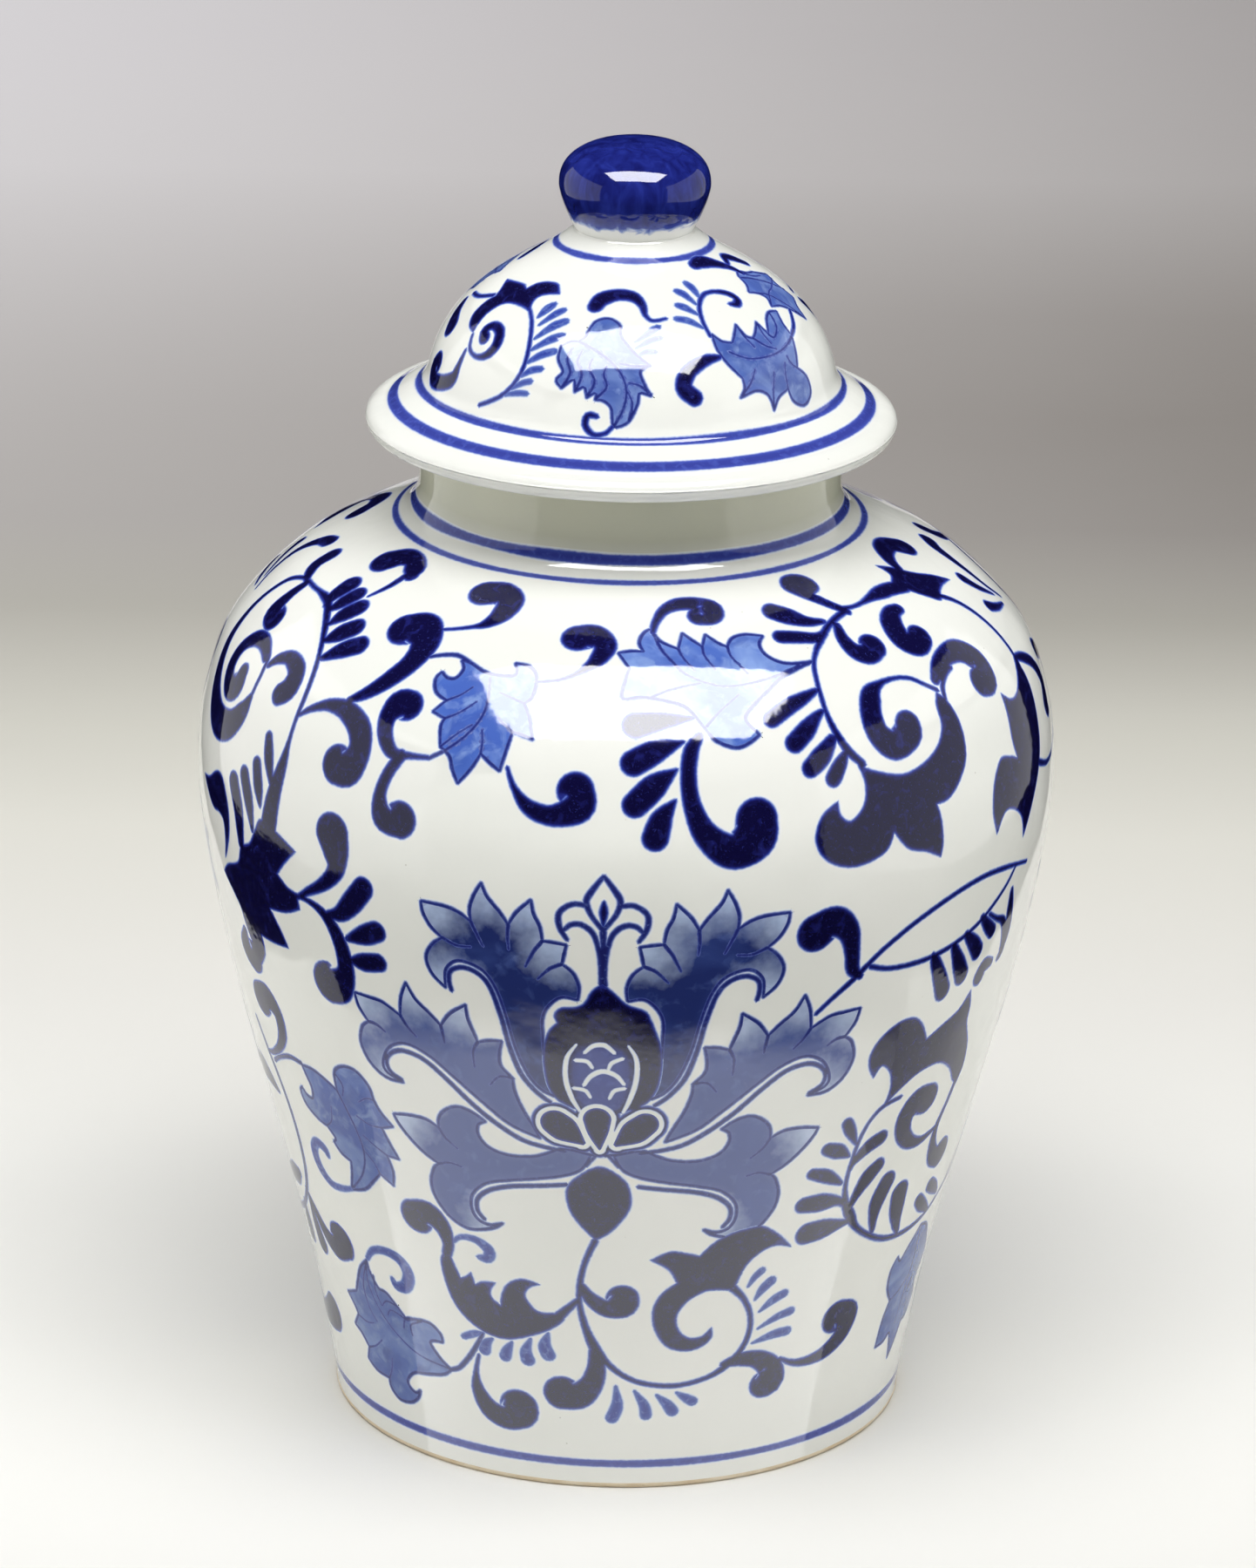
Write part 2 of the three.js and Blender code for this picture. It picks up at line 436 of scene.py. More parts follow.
# Solid cobalt strokes: commas, drops and stems.
JAR_COMMAS = [
    [(-54.5, 271.6, 9.2), (-48.5, 272.6, 8.6), (-43.3, 270.3, 7.6), (-43.8, 265, 6.2),
     (-47, 260.8, 3.4), (-50, 259.2, 1.6), (-55, 257.3, 1.2), (-60.5, 255.7, 1)],
    [(-15.6, 259.6, 9), (-10.7, 260.4, 8.4), (-6.9, 257.2, 6.4), (-8.7, 252.5, 4.6),
     (-12, 249.2, 2.4), (-16, 246.6, 1.3), (-20, 245.1, 1), (-25, 244.3, 0.8)],
    [(8, 262.3, 1.6), (9.2, 266, 2.2), (12.5, 270.3, 3.2), (17.5, 272.5, 4.6), (23.5, 272.6, 5.2),
     (29.2, 270.6, 6.5), (28.4, 268.2, 7.5), (24.8, 267.8, 6.6)],
    [(-28, 220, 0.9), (-25.8, 214.8, 1.8), (-22, 210.2, 4.2), (-16.5, 208.6, 5.6),
     (-10.8, 211.2, 8.5), (-11.5, 215.4, 9.8)],
    [(18, 230, 2.2), (15.6, 226, 4), (14.6, 219, 4.2), (15.4, 211.5, 4.8), (18.4, 204, 6.8),
     (24, 199.4, 9.4), (29.3, 202.3, 11.8), (30.2, 207.3, 11.2)],
    [(-108.5, 270.8, 9.5), (-103.5, 274.5, 8), (-97, 275.2, 6), (-91.8, 272.7, 6.5),
     (-89.6, 270.3, 4.5)],
    [(-91.8, 269.5, 2.4), (-93, 264.5, 2), (-96, 258.5, 0.8)],
    [(-137, 261.5, 6), (-136, 256.5, 5.4), (-131.5, 253.3, 3.4), (-128.5, 252, 2)],
    [(-127.5, 251, 3.4), (-128.8, 246, 5), (-128.8, 240.5, 7.5), (-124.5, 239, 8.2)],
    [(-71.5, 253.2, 10.8), (-66.5, 254.6, 11.4), (-62.2, 250.6, 9), (-62.7, 244.5, 6.6),
     (-66.3, 238.2, 5.6), (-70.8, 232.8, 4), (-75.5, 229, 2)],
    [(-90, 220.3, 1), (-86, 223.6, 2), (-80.5, 226.3, 3.6), (-74.5, 226.2, 5.6),
     (-69, 222.8, 7.2), (-67.2, 217.5, 7.4), (-69.3, 212, 9.5), (-72.6, 212, 10.8)],
    [(-57.6, 232, 8.6), (-60.3, 231.6, 8.4), (-62, 227.5, 5.4), (-60.8, 222.5, 4.6),
     (-57.6, 218.8, 3.6), (-53, 219, 1.8), (-48, 219.5, 1.2)],
    [(-55.3, 218.6, 3.4), (-58, 213, 3.4), (-59.2, 207, 4), (-57.5, 201.8, 7), (-53.3, 202, 10)],
    [(-71.8, 193.6, 11.4), (-70.6, 188.5, 9), (-70.8, 183.5, 5.6), (-74.5, 178.8, 3.8),
     (-80, 174.8, 2.4), (-84, 171.8, 1.6)],
    [(-86, 172, 1.8), (-81, 172.2, 1.6), (-76, 170.4, 3), (-72.3, 166, 4.8), (-70.3, 159.5, 5.6),
     (-70.4, 153.5, 6.4), (-73.2, 149.4, 10.5), (-76.3, 149, 12.6)],
    [(-113, 151, 3), (-114, 146, 8), (-110.5, 144.5, 10)],
    [(-111.5, 131.2, 10.5), (-107, 133, 8.5), (-103, 129.5, 5.6), (-103.2, 123.5, 4.6),
     (-107, 118, 3), (-113, 114, 1.8), (-117, 112.8, 1.2)],
    [(-118, 69, 1.6), (-114.5, 64, 3.4), (-109.5, 58, 5.6), (-104, 55.8, 8), (-99.3, 59, 12)],
    [(-122, 28.6, 11.5), (-128.5, 26.2, 9), (-136, 24.8, 6), (-144, 27, 3), (-150, 32, 1.2)],
    [(-60.2, 79.8, 10.8), (-55.8, 81.6, 8), (-52, 78.2, 5.6), (-50.8, 73.2, 3.6),
     (-51.8, 69.5, 3)],
    [(-45.3, 37.5, 0.9), (-46.9, 31.5, 1.6), (-46.6, 26, 4), (-43, 20.6, 6.2),
     (-37.5, 18.6, 7.4), (-32.8, 20.8, 10.5), (-32.4, 22.8, 10.8)],
    [(-10.5, 65, 2.2), (-8, 61, 4), (-3.5, 58, 5.6), (1, 59, 8.6), (1.4, 61.3, 8.8)],
    [(-6.8, 43, 3.4), (-6.4, 38, 5), (-8, 32.6, 6.4), (-12, 28.7, 8.4), (-17.3, 29, 10.6)],
    [(34.5, 37.3, 2.2), (40, 38.2, 4.4), (46.5, 37.2, 5.6), (51.3, 33.5, 7.4), (51.8, 29.5, 9.4),
     (50, 28.8, 9)],
    [(54.5, 36, 1), (60, 33.5, 2), (66.5, 32.8, 3.2), (73.5, 34, 4.8), (79.5, 38, 6.6),
     (80.3, 43.5, 9), (75.6, 44.7, 10.5)],
    [(44.8, 174.3, 11), (49.5, 176.5, 9), (53.3, 173, 6.6), (54.8, 167, 4.8), (55.6, 161.5, 4.2),
     (57.8, 158.8, 2.4)],
    [(70, 257.5, 2.4), (68.5, 253, 4), (69.5, 248.6, 5.4), (73, 246.6, 6.6), (76.3, 248.2, 8.2)],
    [(97.6, 256.3, 3.8), (93.5, 255.8, 5.4), (89.5, 252.5, 7.4), (88.5, 247.8, 7.8),
     (92, 244.8, 7.6), (95.6, 246.2, 8)],
    [(90.3, 233.8, 3.2), (94.5, 236.8, 5), (100, 238.6, 5.8), (106.5, 238, 7.6),
     (110.8, 233.5, 9), (110, 228.3, 9.4), (107, 228, 8.6)],
    [(120, 266, 3), (122.5, 270, 4.6), (128, 273, 6.4), (135, 273, 7), (141, 269, 8)],
    [(103.3, 144.5, 5.8), (105, 147, 5.2), (108.5, 146.8, 3)],
    [(112.5, 167, 2), (113.8, 161, 4), (115.5, 154, 3.6), (115, 149, 2)],
    [(106.5, 112, 2), (104.8, 105, 1.6), (102.6, 98.5, 2.2), (103, 92.5, 3.6), (106, 87.3, 6),
     (110.8, 86.4, 9.6)],
]

# Spirals at the ends of the big scrolls.
JAR_SPIRALS = [
    [(-113.5, 229.8, 3.4), (-118.5, 232.3, 4.6), (-124.5, 232, 5.4), (-129, 227.5, 5.2),
     (-129.3, 221, 6), (-125.5, 216.8, 7), (-121, 218.6, 8), (-120.6, 222.2, 6)],
    [(-110.5, 228.5, 2), (-108, 231.5, 3.6), (-103.5, 233.2, 4.6), (-98.3, 231, 6.4),
     (-97.2, 226.3, 7.6), (-99.6, 223.6, 6.6)],
    [(-111.5, 218.5, 2.5), (-113.5, 213.5, 6.5), (-119, 208, 8.5), (-127, 206.8, 9.5),
     (-134, 211, 8.5), (-139, 219, 6), (-142.5, 228, 4), (-143.5, 238, 2.5), (-140, 247, 2),
     (-134, 251.2, 1.6), (-128, 252.5, 1.4)],
    [(89, 231, 1.4), (86, 233.5, 1.2), (82, 236.6, 1.2), (77, 237.9, 1.2), (71.5, 237.5, 2.2),
     (67.3, 235.2, 5.8), (64.8, 230, 6.6), (64.9, 224.3, 7.2), (68.6, 220.6, 8),
     (73.5, 222.6, 9), (74.4, 224.6, 8.4)],
    [(92.3, 110.3, 9.5), (87.5, 110.8, 9), (84.3, 107, 7.4), (85.3, 101.5, 6), (89.3, 97.5, 4.6),
     (94.5, 96, 3), (99.5, 97, 1.8), (102, 98, 1.5)],
]

# Drops: head, middle and fine tail.
JAR_DROPS = [
    [(2.3, 233.2, 7.4), (9, 234.4, 5), (17, 235, 1)],
    [(1.8, 223, 7), (7.5, 226.3, 6), (14, 228.6, 0.8)],
    [(2.2, 212.2, 6.8), (7, 217.3, 6.4), (12, 221.3, 0.8)],
    [(6.8, 203.6, 7), (8.4, 208.8, 5.6), (11.5, 213.4, 0.8)],
    [(-108.6, 259, 7), (-109, 254, 5.5), (-108, 250.5, 2.2)],
    [(-101, 257.5, 6), (-103, 253, 5.2), (-104.5, 249.5, 1.6)],
    [(-94.5, 254.3, 6.2), (-97.5, 250.3, 5.6), (-99.5, 246.3, 1.6)],
    [(-88.8, 248.6, 6), (-93, 245, 5.8), (-96.3, 241.3, 1.6)],
    [(-82.8, 244.3, 6), (-87.5, 241.3, 5.6), (-92.5, 237, 2)],
    [(-98.3, 211.8, 3.4), (-96.5, 206.5, 4.2), (-93.5, 199.5, 1.6)],
    [(-101, 203.5, 4.2), (-99, 197.5, 4.4), (-97.8, 193, 1.4)],
    [(-106, 199, 4.8), (-103, 192.5, 4.8), (-101, 185, 1.6)],
    [(-111, 195, 6), (-108, 188, 5.6), (-107, 179, 3.4)],
    [(-62.5, 181, 6.4), (-66, 176, 6.4), (-70, 171.5, 4.6), (-74, 170.3, 2)],
    [(-59.5, 169.3, 6), (-63.5, 167, 5.6), (-68.5, 164.6, 1.8)],
    [(-59.8, 160, 5.4), (-64.8, 158.7, 5.2), (-68.5, 158.3, 1.5)],
    [(87, 145.8, 6), (84.5, 151, 5.2), (81.5, 157, 3.6), (80.5, 158.8, 2)],
    [(94, 148.2, 6), (91.5, 152.8, 5.2), (88.3, 158.5, 3)],
    [(99.3, 153.6, 5.4), (96.5, 157, 4.8), (92.5, 161, 2.6)],
    [(105, 157.5, 4.4), (102, 160.3, 4), (98.5, 164, 2.4)],
    [(51.5, 266.5, 6.2), (56, 263.8, 6.4), (61, 261, 4), (66.5, 259.8, 2)],
    [(48.8, 257.3, 4.6), (54, 256.3, 4.4), (60, 255, 3.6), (64, 256, 2)],
    [(37, 233, 4.6), (42, 235.8, 4.6), (47, 237.7, 3.6), (52, 239.5, 1.6)],
    [(41.5, 225.8, 5.2), (45.5, 229, 5), (49, 232, 3), (51.5, 233.5, 1.4)],
    [(44.5, 218.8, 5), (47.8, 221.5, 5.4), (51.5, 225.4, 3)],
    [(50, 215.3, 4.6), (52.3, 218.6, 4), (54.5, 221.5, 1.8)],
    [(-118.5, 99.5, 1.6), (-126, 102.5, 7), (-132, 103, 8)],
    [(-121, 73, 3), (-126, 71, 7), (-132, 69.5, 5)],
    [(-125, 63, 1.5), (-127, 56, 5.4), (-127.5, 51.5, 5.6)],
    [(-117.5, 66, 1.2), (-117, 58, 5), (-116, 52.5, 6.6)],
    [(62.3, 111.5, 3.6), (64, 108.5, 3.6), (67, 103.5, 1)],
    [(57.5, 104.3, 4), (61.5, 102.5, 4.6), (65.5, 100, 1)],
    [(54, 97, 3.4), (59, 95, 4.2), (64.5, 91.5, 1.6)],
    [(53, 87, 5), (59, 86.5, 5.8), (65, 85.5, 3), (68, 83.5, 2)],
    [(56, 77, 7), (62, 77.2, 6.4), (68, 77.3, 3), (71, 77.5, 2)],
    [(76, 103, 4.8), (72, 101.5, 4.8), (67.5, 97.5, 2.6), (66.7, 95, 1.5)],
    [(77.5, 93.5, 5), (74.3, 90.5, 5.8), (71.3, 85.5, 3.4), (69.7, 81.5, 2)],
    [(83.5, 86.5, 6.6), (81.5, 81, 6.4), (81.5, 75.5, 3.8), (82.5, 70.8, 2)],
    [(91.5, 80.5, 7.4), (92.5, 75, 6.6), (94.5, 69.5, 4), (96.5, 66, 2)],
    [(105, 73.3, 4), (109, 70.3, 4.4), (115, 66.8, 2)],
    [(111, 76, 4.4), (115.5, 73.5, 4), (120, 70.5, 1.5)],
]

# Thin stems and rings.
JAR_STEMS = [
    [(-128, 252.5, 1.4), (-122, 252.4, 1.4), (-117, 252.5, 1.6), (-112.5, 252.3, 2.6),
     (-108, 251.3, 2.8), (-104, 248.6, 2.5), (-99.5, 244.6, 2.2), (-95.2, 239.3, 1.6),
     (-91.8, 233, 1.6), (-90, 226, 1.5), (-90, 219, 1.3)],
    [(-94, 189, 7), (-92.7, 197, 6), (-91, 206, 4), (-90.3, 213, 1.6), (-90, 219, 1.2)],
    [(-112.5, 230, 1.6), (-111.2, 225, 1.4), (-111.3, 219, 1.4)],
    [(-6.5, 80.5, 1.8), (-9.5, 73, 1.5), (-11, 66, 1.6), (-11.3, 59, 1.5), (-9.6, 51, 2),
     (-6.5, 43.8, 3), (-2.5, 39, 1.8), (3, 35, 1.5), (10, 32.6, 1.4), (20, 31.8, 1.4),
     (30, 33.8, 1.5), (36, 37.2, 2.2), (40, 41.5, 1.7), (41.9, 47, 1.5), (41.3, 53, 1.5),
     (38.5, 58.5, 1.6), (34.5, 62.8, 2.4)],
    [(-11.5, 60.5, 1.6), (-14.5, 57.5, 2.2), (-18, 54, 3)],
    [(47, 149.5, 1.2), (51, 153.5, 1.4), (56, 158, 1.8), (59.5, 161.5, 1.8)],
    [(59.5, 161.5, 1.6), (64, 165.5, 1.5), (71, 170, 1.5), (79, 173.5, 1.5), (88, 176, 1.5),
     (97, 176.8, 1.5), (106, 175.8, 1.5), (113, 174.3, 1.2), (120, 172.5, 1)],
    [(60.5, 161, 1.5), (66, 159, 1.4), (74, 158.2, 1.5), (82, 158.6, 1.6), (89, 160, 1.5),
     (96, 162.3, 1.4), (102, 165.5, 1.4), (108.5, 170, 1.3), (112.5, 174.2, 1.2)],
    [(101.8, 163.8, 1.4), (106, 161, 1.6), (110.5, 158.6, 2.6), (113.5, 153.5, 3.6),
     (114.3, 148.5, 3.6), (112.8, 146.3, 2)],
    [(78, 261.5, 2.2), (72, 260, 2), (66, 257.5, 2), (61, 254, 2), (57, 250.5, 1.4),
     (54.3, 246.5, 1.2), (52.8, 240, 1.3), (52.3, 233, 1.4), (53, 227.5, 2), (55, 222, 2.4),
     (58.5, 217.5, 2)],
    [(77, 262.5, 2), (82, 262, 1.4), (87, 262.3, 1.6), (92, 262.8, 2.8), (97.5, 263, 4.6),
     (103.5, 262.8, 5), (110, 261.6, 5)],
    [(118, 255, 2.4), (124, 250.5, 1.8), (128.5, 244.5, 1.6), (131, 237, 1.5),
     (131.3, 229, 1.5), (129.8, 220, 2.5)],
    [(90, 228, 1.4), (91.5, 231.5, 1.5), (95, 234, 1.4), (99, 235.2, 1.2)],
    [(131, 227, 2), (136, 225, 3.4), (142, 221, 4.2), (146, 214.5, 5.5), (144, 208.5, 7.5)],
    [(127, 198, 2), (134, 195.5, 1.4), (142, 195.8, 1.2), (150, 199, 1)],
    [(80, 115, 1.3), (74, 113.8, 1.4), (70, 110, 1.2), (67.7, 104, 1.3), (66.7, 97, 1.3),
     (66.5, 90, 1.5), (68, 84, 2.6), (71, 79, 3.4), (74.5, 74.5, 2), (80, 70.5, 1.8),
     (87, 67, 1.8), (95, 65, 1.8), (105, 64.5, 1.6), (115, 66, 1.3), (124, 69.5, 1.2),
     (133, 75, 1.2), (140, 84, 1.2)],
]

# Solid cobalt leaves.
JAR_LEAVES = [
    [(-97.3, 189.5), (-91.4, 188.4), (-83.6, 185, 1), (-87.3, 180.9), (-90.9, 176.2, 1),
     (-87.3, 173.6), (-84.3, 172.6), (-83.6, 168.4, 1), (-89.1, 165.5), (-95.9, 164.1, 1),
     (-92.7, 159.1), (-90.5, 154.4, 1), (-97.3, 153.6), (-102.7, 153.6, 1), (-102.7, 148.2),
     (-106.4, 143.2, 1), (-108.6, 147.3), (-111.4, 153.6), (-113.6, 159.1), (-121.4, 165.5, 1),
     (-117.3, 169.1), (-110, 172.7), (-107.3, 178.2), (-102.7, 180.9), (-100, 185.5)],
    [(-118.6, 170.3, 1), (-116.9, 176), (-117.2, 181.5), (-120.3, 183), (-124, 182.6),
     (-127.6, 184.2), (-133.5, 188.8, 1), (-128, 190.2), (-122.5, 193.8), (-118.6, 194),
     (-115.6, 190.5), (-113.6, 185.5), (-113.7, 179.5), (-116, 174)],
    [(-51.4, 71.6, 1), (-54.1, 67.5), (-54.1, 61.6), (-52.3, 54.4), (-48.2, 48.9),
     (-41.8, 45.3), (-34.5, 44.5), (-27.3, 46.6), (-20.9, 49.4), (-16.4, 53), (-16.8, 55.3),
     (-23.6, 55.1), (-26.8, 58), (-27.7, 60.7), (-25.9, 63.3), (-22.9, 64.4, 1),
     (-28.2, 65.6), (-32.7, 63.5), (-35, 59.8), (-35.9, 55.7, 1), (-38.4, 57.6),
     (-38.6, 60.2), (-36.8, 63, 1), (-40.9, 62.6), (-43.5, 61.2, 1), (-44.5, 65, 1),
     (-46.3, 63.3), (-48.2, 62.4, 1), (-49.6, 66.2)],
    [(9.1, 74.1, 1), (14.5, 76.7), (19.1, 76), (23.2, 74.8, 1), (27.3, 79), (31.8, 81.4),
     (36, 82.3), (40.9, 82.5), (46.4, 78.9), (51.5, 73.7, 1), (46.4, 75.1), (41.8, 73.7),
     (37.7, 69.8), (35.6, 64.4), (34.8, 62, 1), (28.6, 62.8), (25.3, 62.4), (20.9, 59.8),
     (18, 55.3), (18.6, 50.7), (21.8, 47.5), (26.2, 47.5), (29.1, 50.3, 1), (29.5, 47),
     (26.8, 44.2), (21.8, 43), (15.5, 44.8), (11.4, 50.7), (10.5, 57.1), (12.7, 62.5),
     (17.1, 66.2, 1), (14.5, 70.7)],
    [(61.8, 274.2), (64, 277.8), (69, 278.7), (74, 277.6), (77, 274.6), (76.2, 271.2),
     (72.3, 269.6, 1), (75.5, 266), (79.4, 261.6), (78, 259.6), (75.5, 261.3), (70.5, 265.8),
     (65, 270.4)],
    [(88.2, 230.7, 1), (90.5, 227.3), (91.8, 220), (90.9, 211.8), (87.3, 206.4),
     (82.7, 202.8), (78.6, 202.3, 1), (79.6, 198.2), (80, 191.8), (79.3, 187.7, 1),
     (74.5, 190.5), (69.1, 192.7), (65, 197.9, 1), (62.7, 193.6), (57.3, 191.4),
     (51.8, 191.4), (46.4, 194.5), (44.1, 200), (46, 206), (50.5, 209.3, 1), (50.9, 205.5),
     (53.6, 203.6), (57.3, 207.3), (58.2, 212.7), (56.8, 218.2, 1), (60.9, 215.5),
     (69.1, 212.7), (76.4, 214.1), (81.8, 217.3), (85, 221.8), (85.9, 227.3)],
    [(67.9, 124.5, 1), (65.6, 128.5), (65.3, 133), (68, 137.6), (73.3, 140.7), (78.3, 140.4),
     (82, 137), (84.8, 131.8, 1), (90, 134.2), (96.5, 136.8), (100.6, 141.4, 1), (102.4, 136),
     (103, 130.5), (107, 122.5), (108.6, 115), (107, 109.5, 1), (103.5, 112.5), (99.5, 117.6),
     (93, 121.4), (85, 121), (78.5, 117.5), (73.8, 113.5, 1), (74.8, 119), (73.4, 124.5),
     (70, 127.8)],
    [(108, 264.3, 1), (112.5, 266.5), (112, 271, 1), (118, 268), (124, 263), (131, 258.5),
     (136, 254, 1), (129, 254.6), (124, 254), (119, 252), (115.5, 254.5), (111, 259.2)],
    [(113, 222.5, 1), (117, 219.5), (121.5, 219.8), (126, 223), (130.6, 228, 1), (132, 219),
     (131, 209), (127.5, 199.5), (121.5, 190.5), (115, 181.2, 1), (113.5, 187.5),
     (109, 191.5), (104.5, 192), (100.8, 187.2, 1), (99, 194), (100.3, 201.5),
     (104.6, 206.8), (109.5, 206), (112.8, 204.5, 1), (112, 210), (112.6, 216.5)],
    # Bulb under the lotus.
    [(-6.4, 80.5, 1), (-10.9, 85.7), (-13.6, 90.7), (-14.1, 97.1), (-10.9, 101.6), (-5.2, 105),
     (0.5, 101.6), (2.9, 97.1), (2.7, 90.7), (-1.8, 83.9)],
]

# Leaves washed in thinned cobalt, each with its veins.
JAR_WASHES = [
    [(-2.7, 254.9, 1), (1, 255.6), (4.8, 255.5, 1), (3.6, 258.6), (5, 262), (7.2, 263.6, 1),
     (8.5, 261), (11, 258.4), (15.3, 256.2, 1), (17.5, 261.8, 1), (20.5, 258.7),
     (22.8, 256.6, 1), (24.8, 260.9, 1), (28, 257.5), (30.5, 256, 1), (33, 258.8),
     (37.5, 259.7), (43, 258.5, 1), (40.6, 255.8), (41, 252.3), (44, 249.5), (48, 248.2),
     (55, 247.9, 1), (49, 246.6), (43, 244.4), (38.2, 241.2), (33, 237.3), (30.3, 233.8),
     (33, 229.2, 1), (30, 227.2), (26.5, 226.3), (22, 228.5), (19.4, 232.2, 1), (15.5, 238),
     (10, 240.2), (4, 241.3), (-1.2, 241), (-0.4, 246.5), (0.6, 250, 1)],
    [(-48, 247.6, 1), (-45, 247.3), (-40, 245.3), (-35, 245), (-31, 245.8), (-32, 249.2, 1),
     (-27.5, 248.5), (-25, 245.5), (-25, 240), (-26.8, 237.7, 1), (-24.6, 233.8),
     (-22.9, 228, 1), (-25.8, 229), (-28.2, 229.5, 1), (-28.9, 224.5), (-29.8, 218.9, 1),
     (-32.7, 220.9), (-35, 222.7, 1), (-36.8, 218.6), (-39.6, 214.3, 1), (-41.4, 217.7),
     (-42.7, 220.9), (-45.5, 222.9, 1), (-46.8, 228.2), (-46.4, 230.5, 1), (-50.2, 231.8, 1),
     (-47.7, 235.5, 1), (-51.4, 237.3), (-53.2, 240.9), (-52.3, 243.2, 1), (-50, 241.8),
     (-47.5, 242.2), (-46.4, 245.2)],
    [(-96, 116.5, 1), (-90.9, 116.9), (-85.5, 115.3), (-81.8, 113.5, 1), (-81.2, 119.6),
     (-77.3, 122.7), (-72.7, 122.7), (-69.1, 119.1), (-68.2, 115), (-66.5, 111.5),
     (-63.2, 108, 1), (-67.3, 106.4, 1), (-65.5, 102), (-63.2, 97.5, 1), (-67.3, 97.5, 1),
     (-66.2, 92.6), (-67, 87.8, 1), (-71.4, 90.3, 1), (-74.5, 87.1), (-79.1, 83),
     (-85.5, 80.7, 1), (-83.6, 86.2), (-82.7, 90.7, 1), (-86.4, 92.1), (-88.9, 94.8, 1),
     (-87.6, 96.4), (-90.5, 99.4, 1), (-94.5, 100.3), (-99.1, 103), (-100.5, 106.6),
     (-99.1, 108.5, 1), (-97.3, 106.6), (-94.5, 106.6), (-93.6, 110.3), (-95, 113.9)],
    [(-86.4, 57.5, 1), (-90.9, 53.5), (-94.5, 48), (-97, 43.9, 1), (-103.2, 41.6, 1),
     (-100, 38), (-99.1, 35.7, 1), (-102.7, 31.6, 1), (-99, 30), (-95.5, 26.6, 1),
     (-97.3, 22.5, 1), (-92.7, 20.3), (-86, 19.8, 1), (-85.8, 16.8), (-82, 14.2), (-76, 15),
     (-72.3, 17.6), (-70.9, 20, 1), (-73.2, 18.6), (-75.9, 19.8), (-76.4, 22.1),
     (-72.7, 25.3), (-67.3, 26.4), (-60, 28), (-56.4, 30.3, 1), (-60, 32.5), (-63.6, 36.6),
     (-62.6, 38.2), (-58.6, 38.6, 1), (-59.1, 41.2), (-62.7, 43.7), (-68.2, 43.5),
     (-72.3, 42.1, 1), (-75.9, 45.6, 1), (-80, 48.8), (-83.6, 49.4), (-86.4, 54.4)],
    [(102.3, 55.7, 1), (100.2, 52), (101.2, 46), (105.5, 40.7, 1), (103.6, 35),
     (102.3, 26.8, 1), (107.5, 27), (111.5, 28.5), (113.5, 24), (115, 19.5, 1), (118.5, 24),
     (122, 29, 1), (127, 29.5), (131, 34, 1), (128, 40), (132, 47, 1), (126, 54), (120, 60),
     (114, 62, 1), (108, 56.5), (105, 53.5)],
]

# Curls of thinned cobalt.
JAR_WASH_STROKES = [
    [(-84, 81.5, 1.2), (-90, 79.4, 1.8), (-96, 79, 2.6), (-100.6, 82.5, 3.6),
     (-101.6, 87.5, 3.6), (-98.8, 91, 3), (-95, 90.3, 3), (-94, 88.5, 2)],
    [(-86, 58, 1.4), (-82, 62, 2), (-76, 63.6, 2.6), (-70.5, 62.5, 3.4), (-68, 58.5, 4),
     (-70, 54, 3.8), (-74, 52.8, 2.8), (-75.5, 54.8, 1.6)],
    [(-50, 73, 1), (-46.5, 76.2, 1.4), (-41.5, 76.3, 2.2), (-37.8, 73.6, 3.2),
     (-38.5, 70.8, 3), (-41.3, 70.7, 1.4)],
    [(-50, 42.5, 1.8), (-46, 44.3, 2), (-42.5, 45.2, 0.6)],
    [(-43, 39.5, 3.4), (-42, 42, 2.6), (-39.8, 43.8, 0.6)],
    [(-36, 38.6, 3.2), (-35, 41, 2.6), (-33.3, 43.8, 0.6)],
    [(-28.4, 38.6, 3.8), (-28.8, 41.5, 3), (-27, 45.8, 0.6)],
    [(-21.6, 41, 3.8), (-22.6, 44, 3.4), (-21.3, 48.3, 0.7)],
    [(-1.3, 21.8, 3.4), (0.3, 26, 3), (-0.2, 32, 0.7)],
    [(9.8, 22.6, 3), (9, 26, 2.6), (5.8, 30.5, 0.6)],
    [(18.5, 23.6, 3.2), (16.5, 26, 2.6), (13, 29, 0.6)],
    [(25, 26.3, 2.8), (22.5, 27.7, 2.2), (19.5, 29.5, 0.6)],
    [(43, 67.3, 2.2), (41, 65.4, 1.9), (39.3, 62.5, 0.6)],
    [(46.7, 63.2, 3), (44.3, 61, 2.6), (42.2, 57.6, 0.6)],
    [(52, 58, 2.6), (48.5, 56.5, 2.6), (44.3, 53.3, 0.6)],
    [(55.6, 51.4, 2.6), (51, 50.4, 2.2), (44.7, 47.6, 0.6)],
    [(55.6, 44.8, 2.8), (50.5, 44.6, 2.6), (43.5, 43, 0.6)],
]

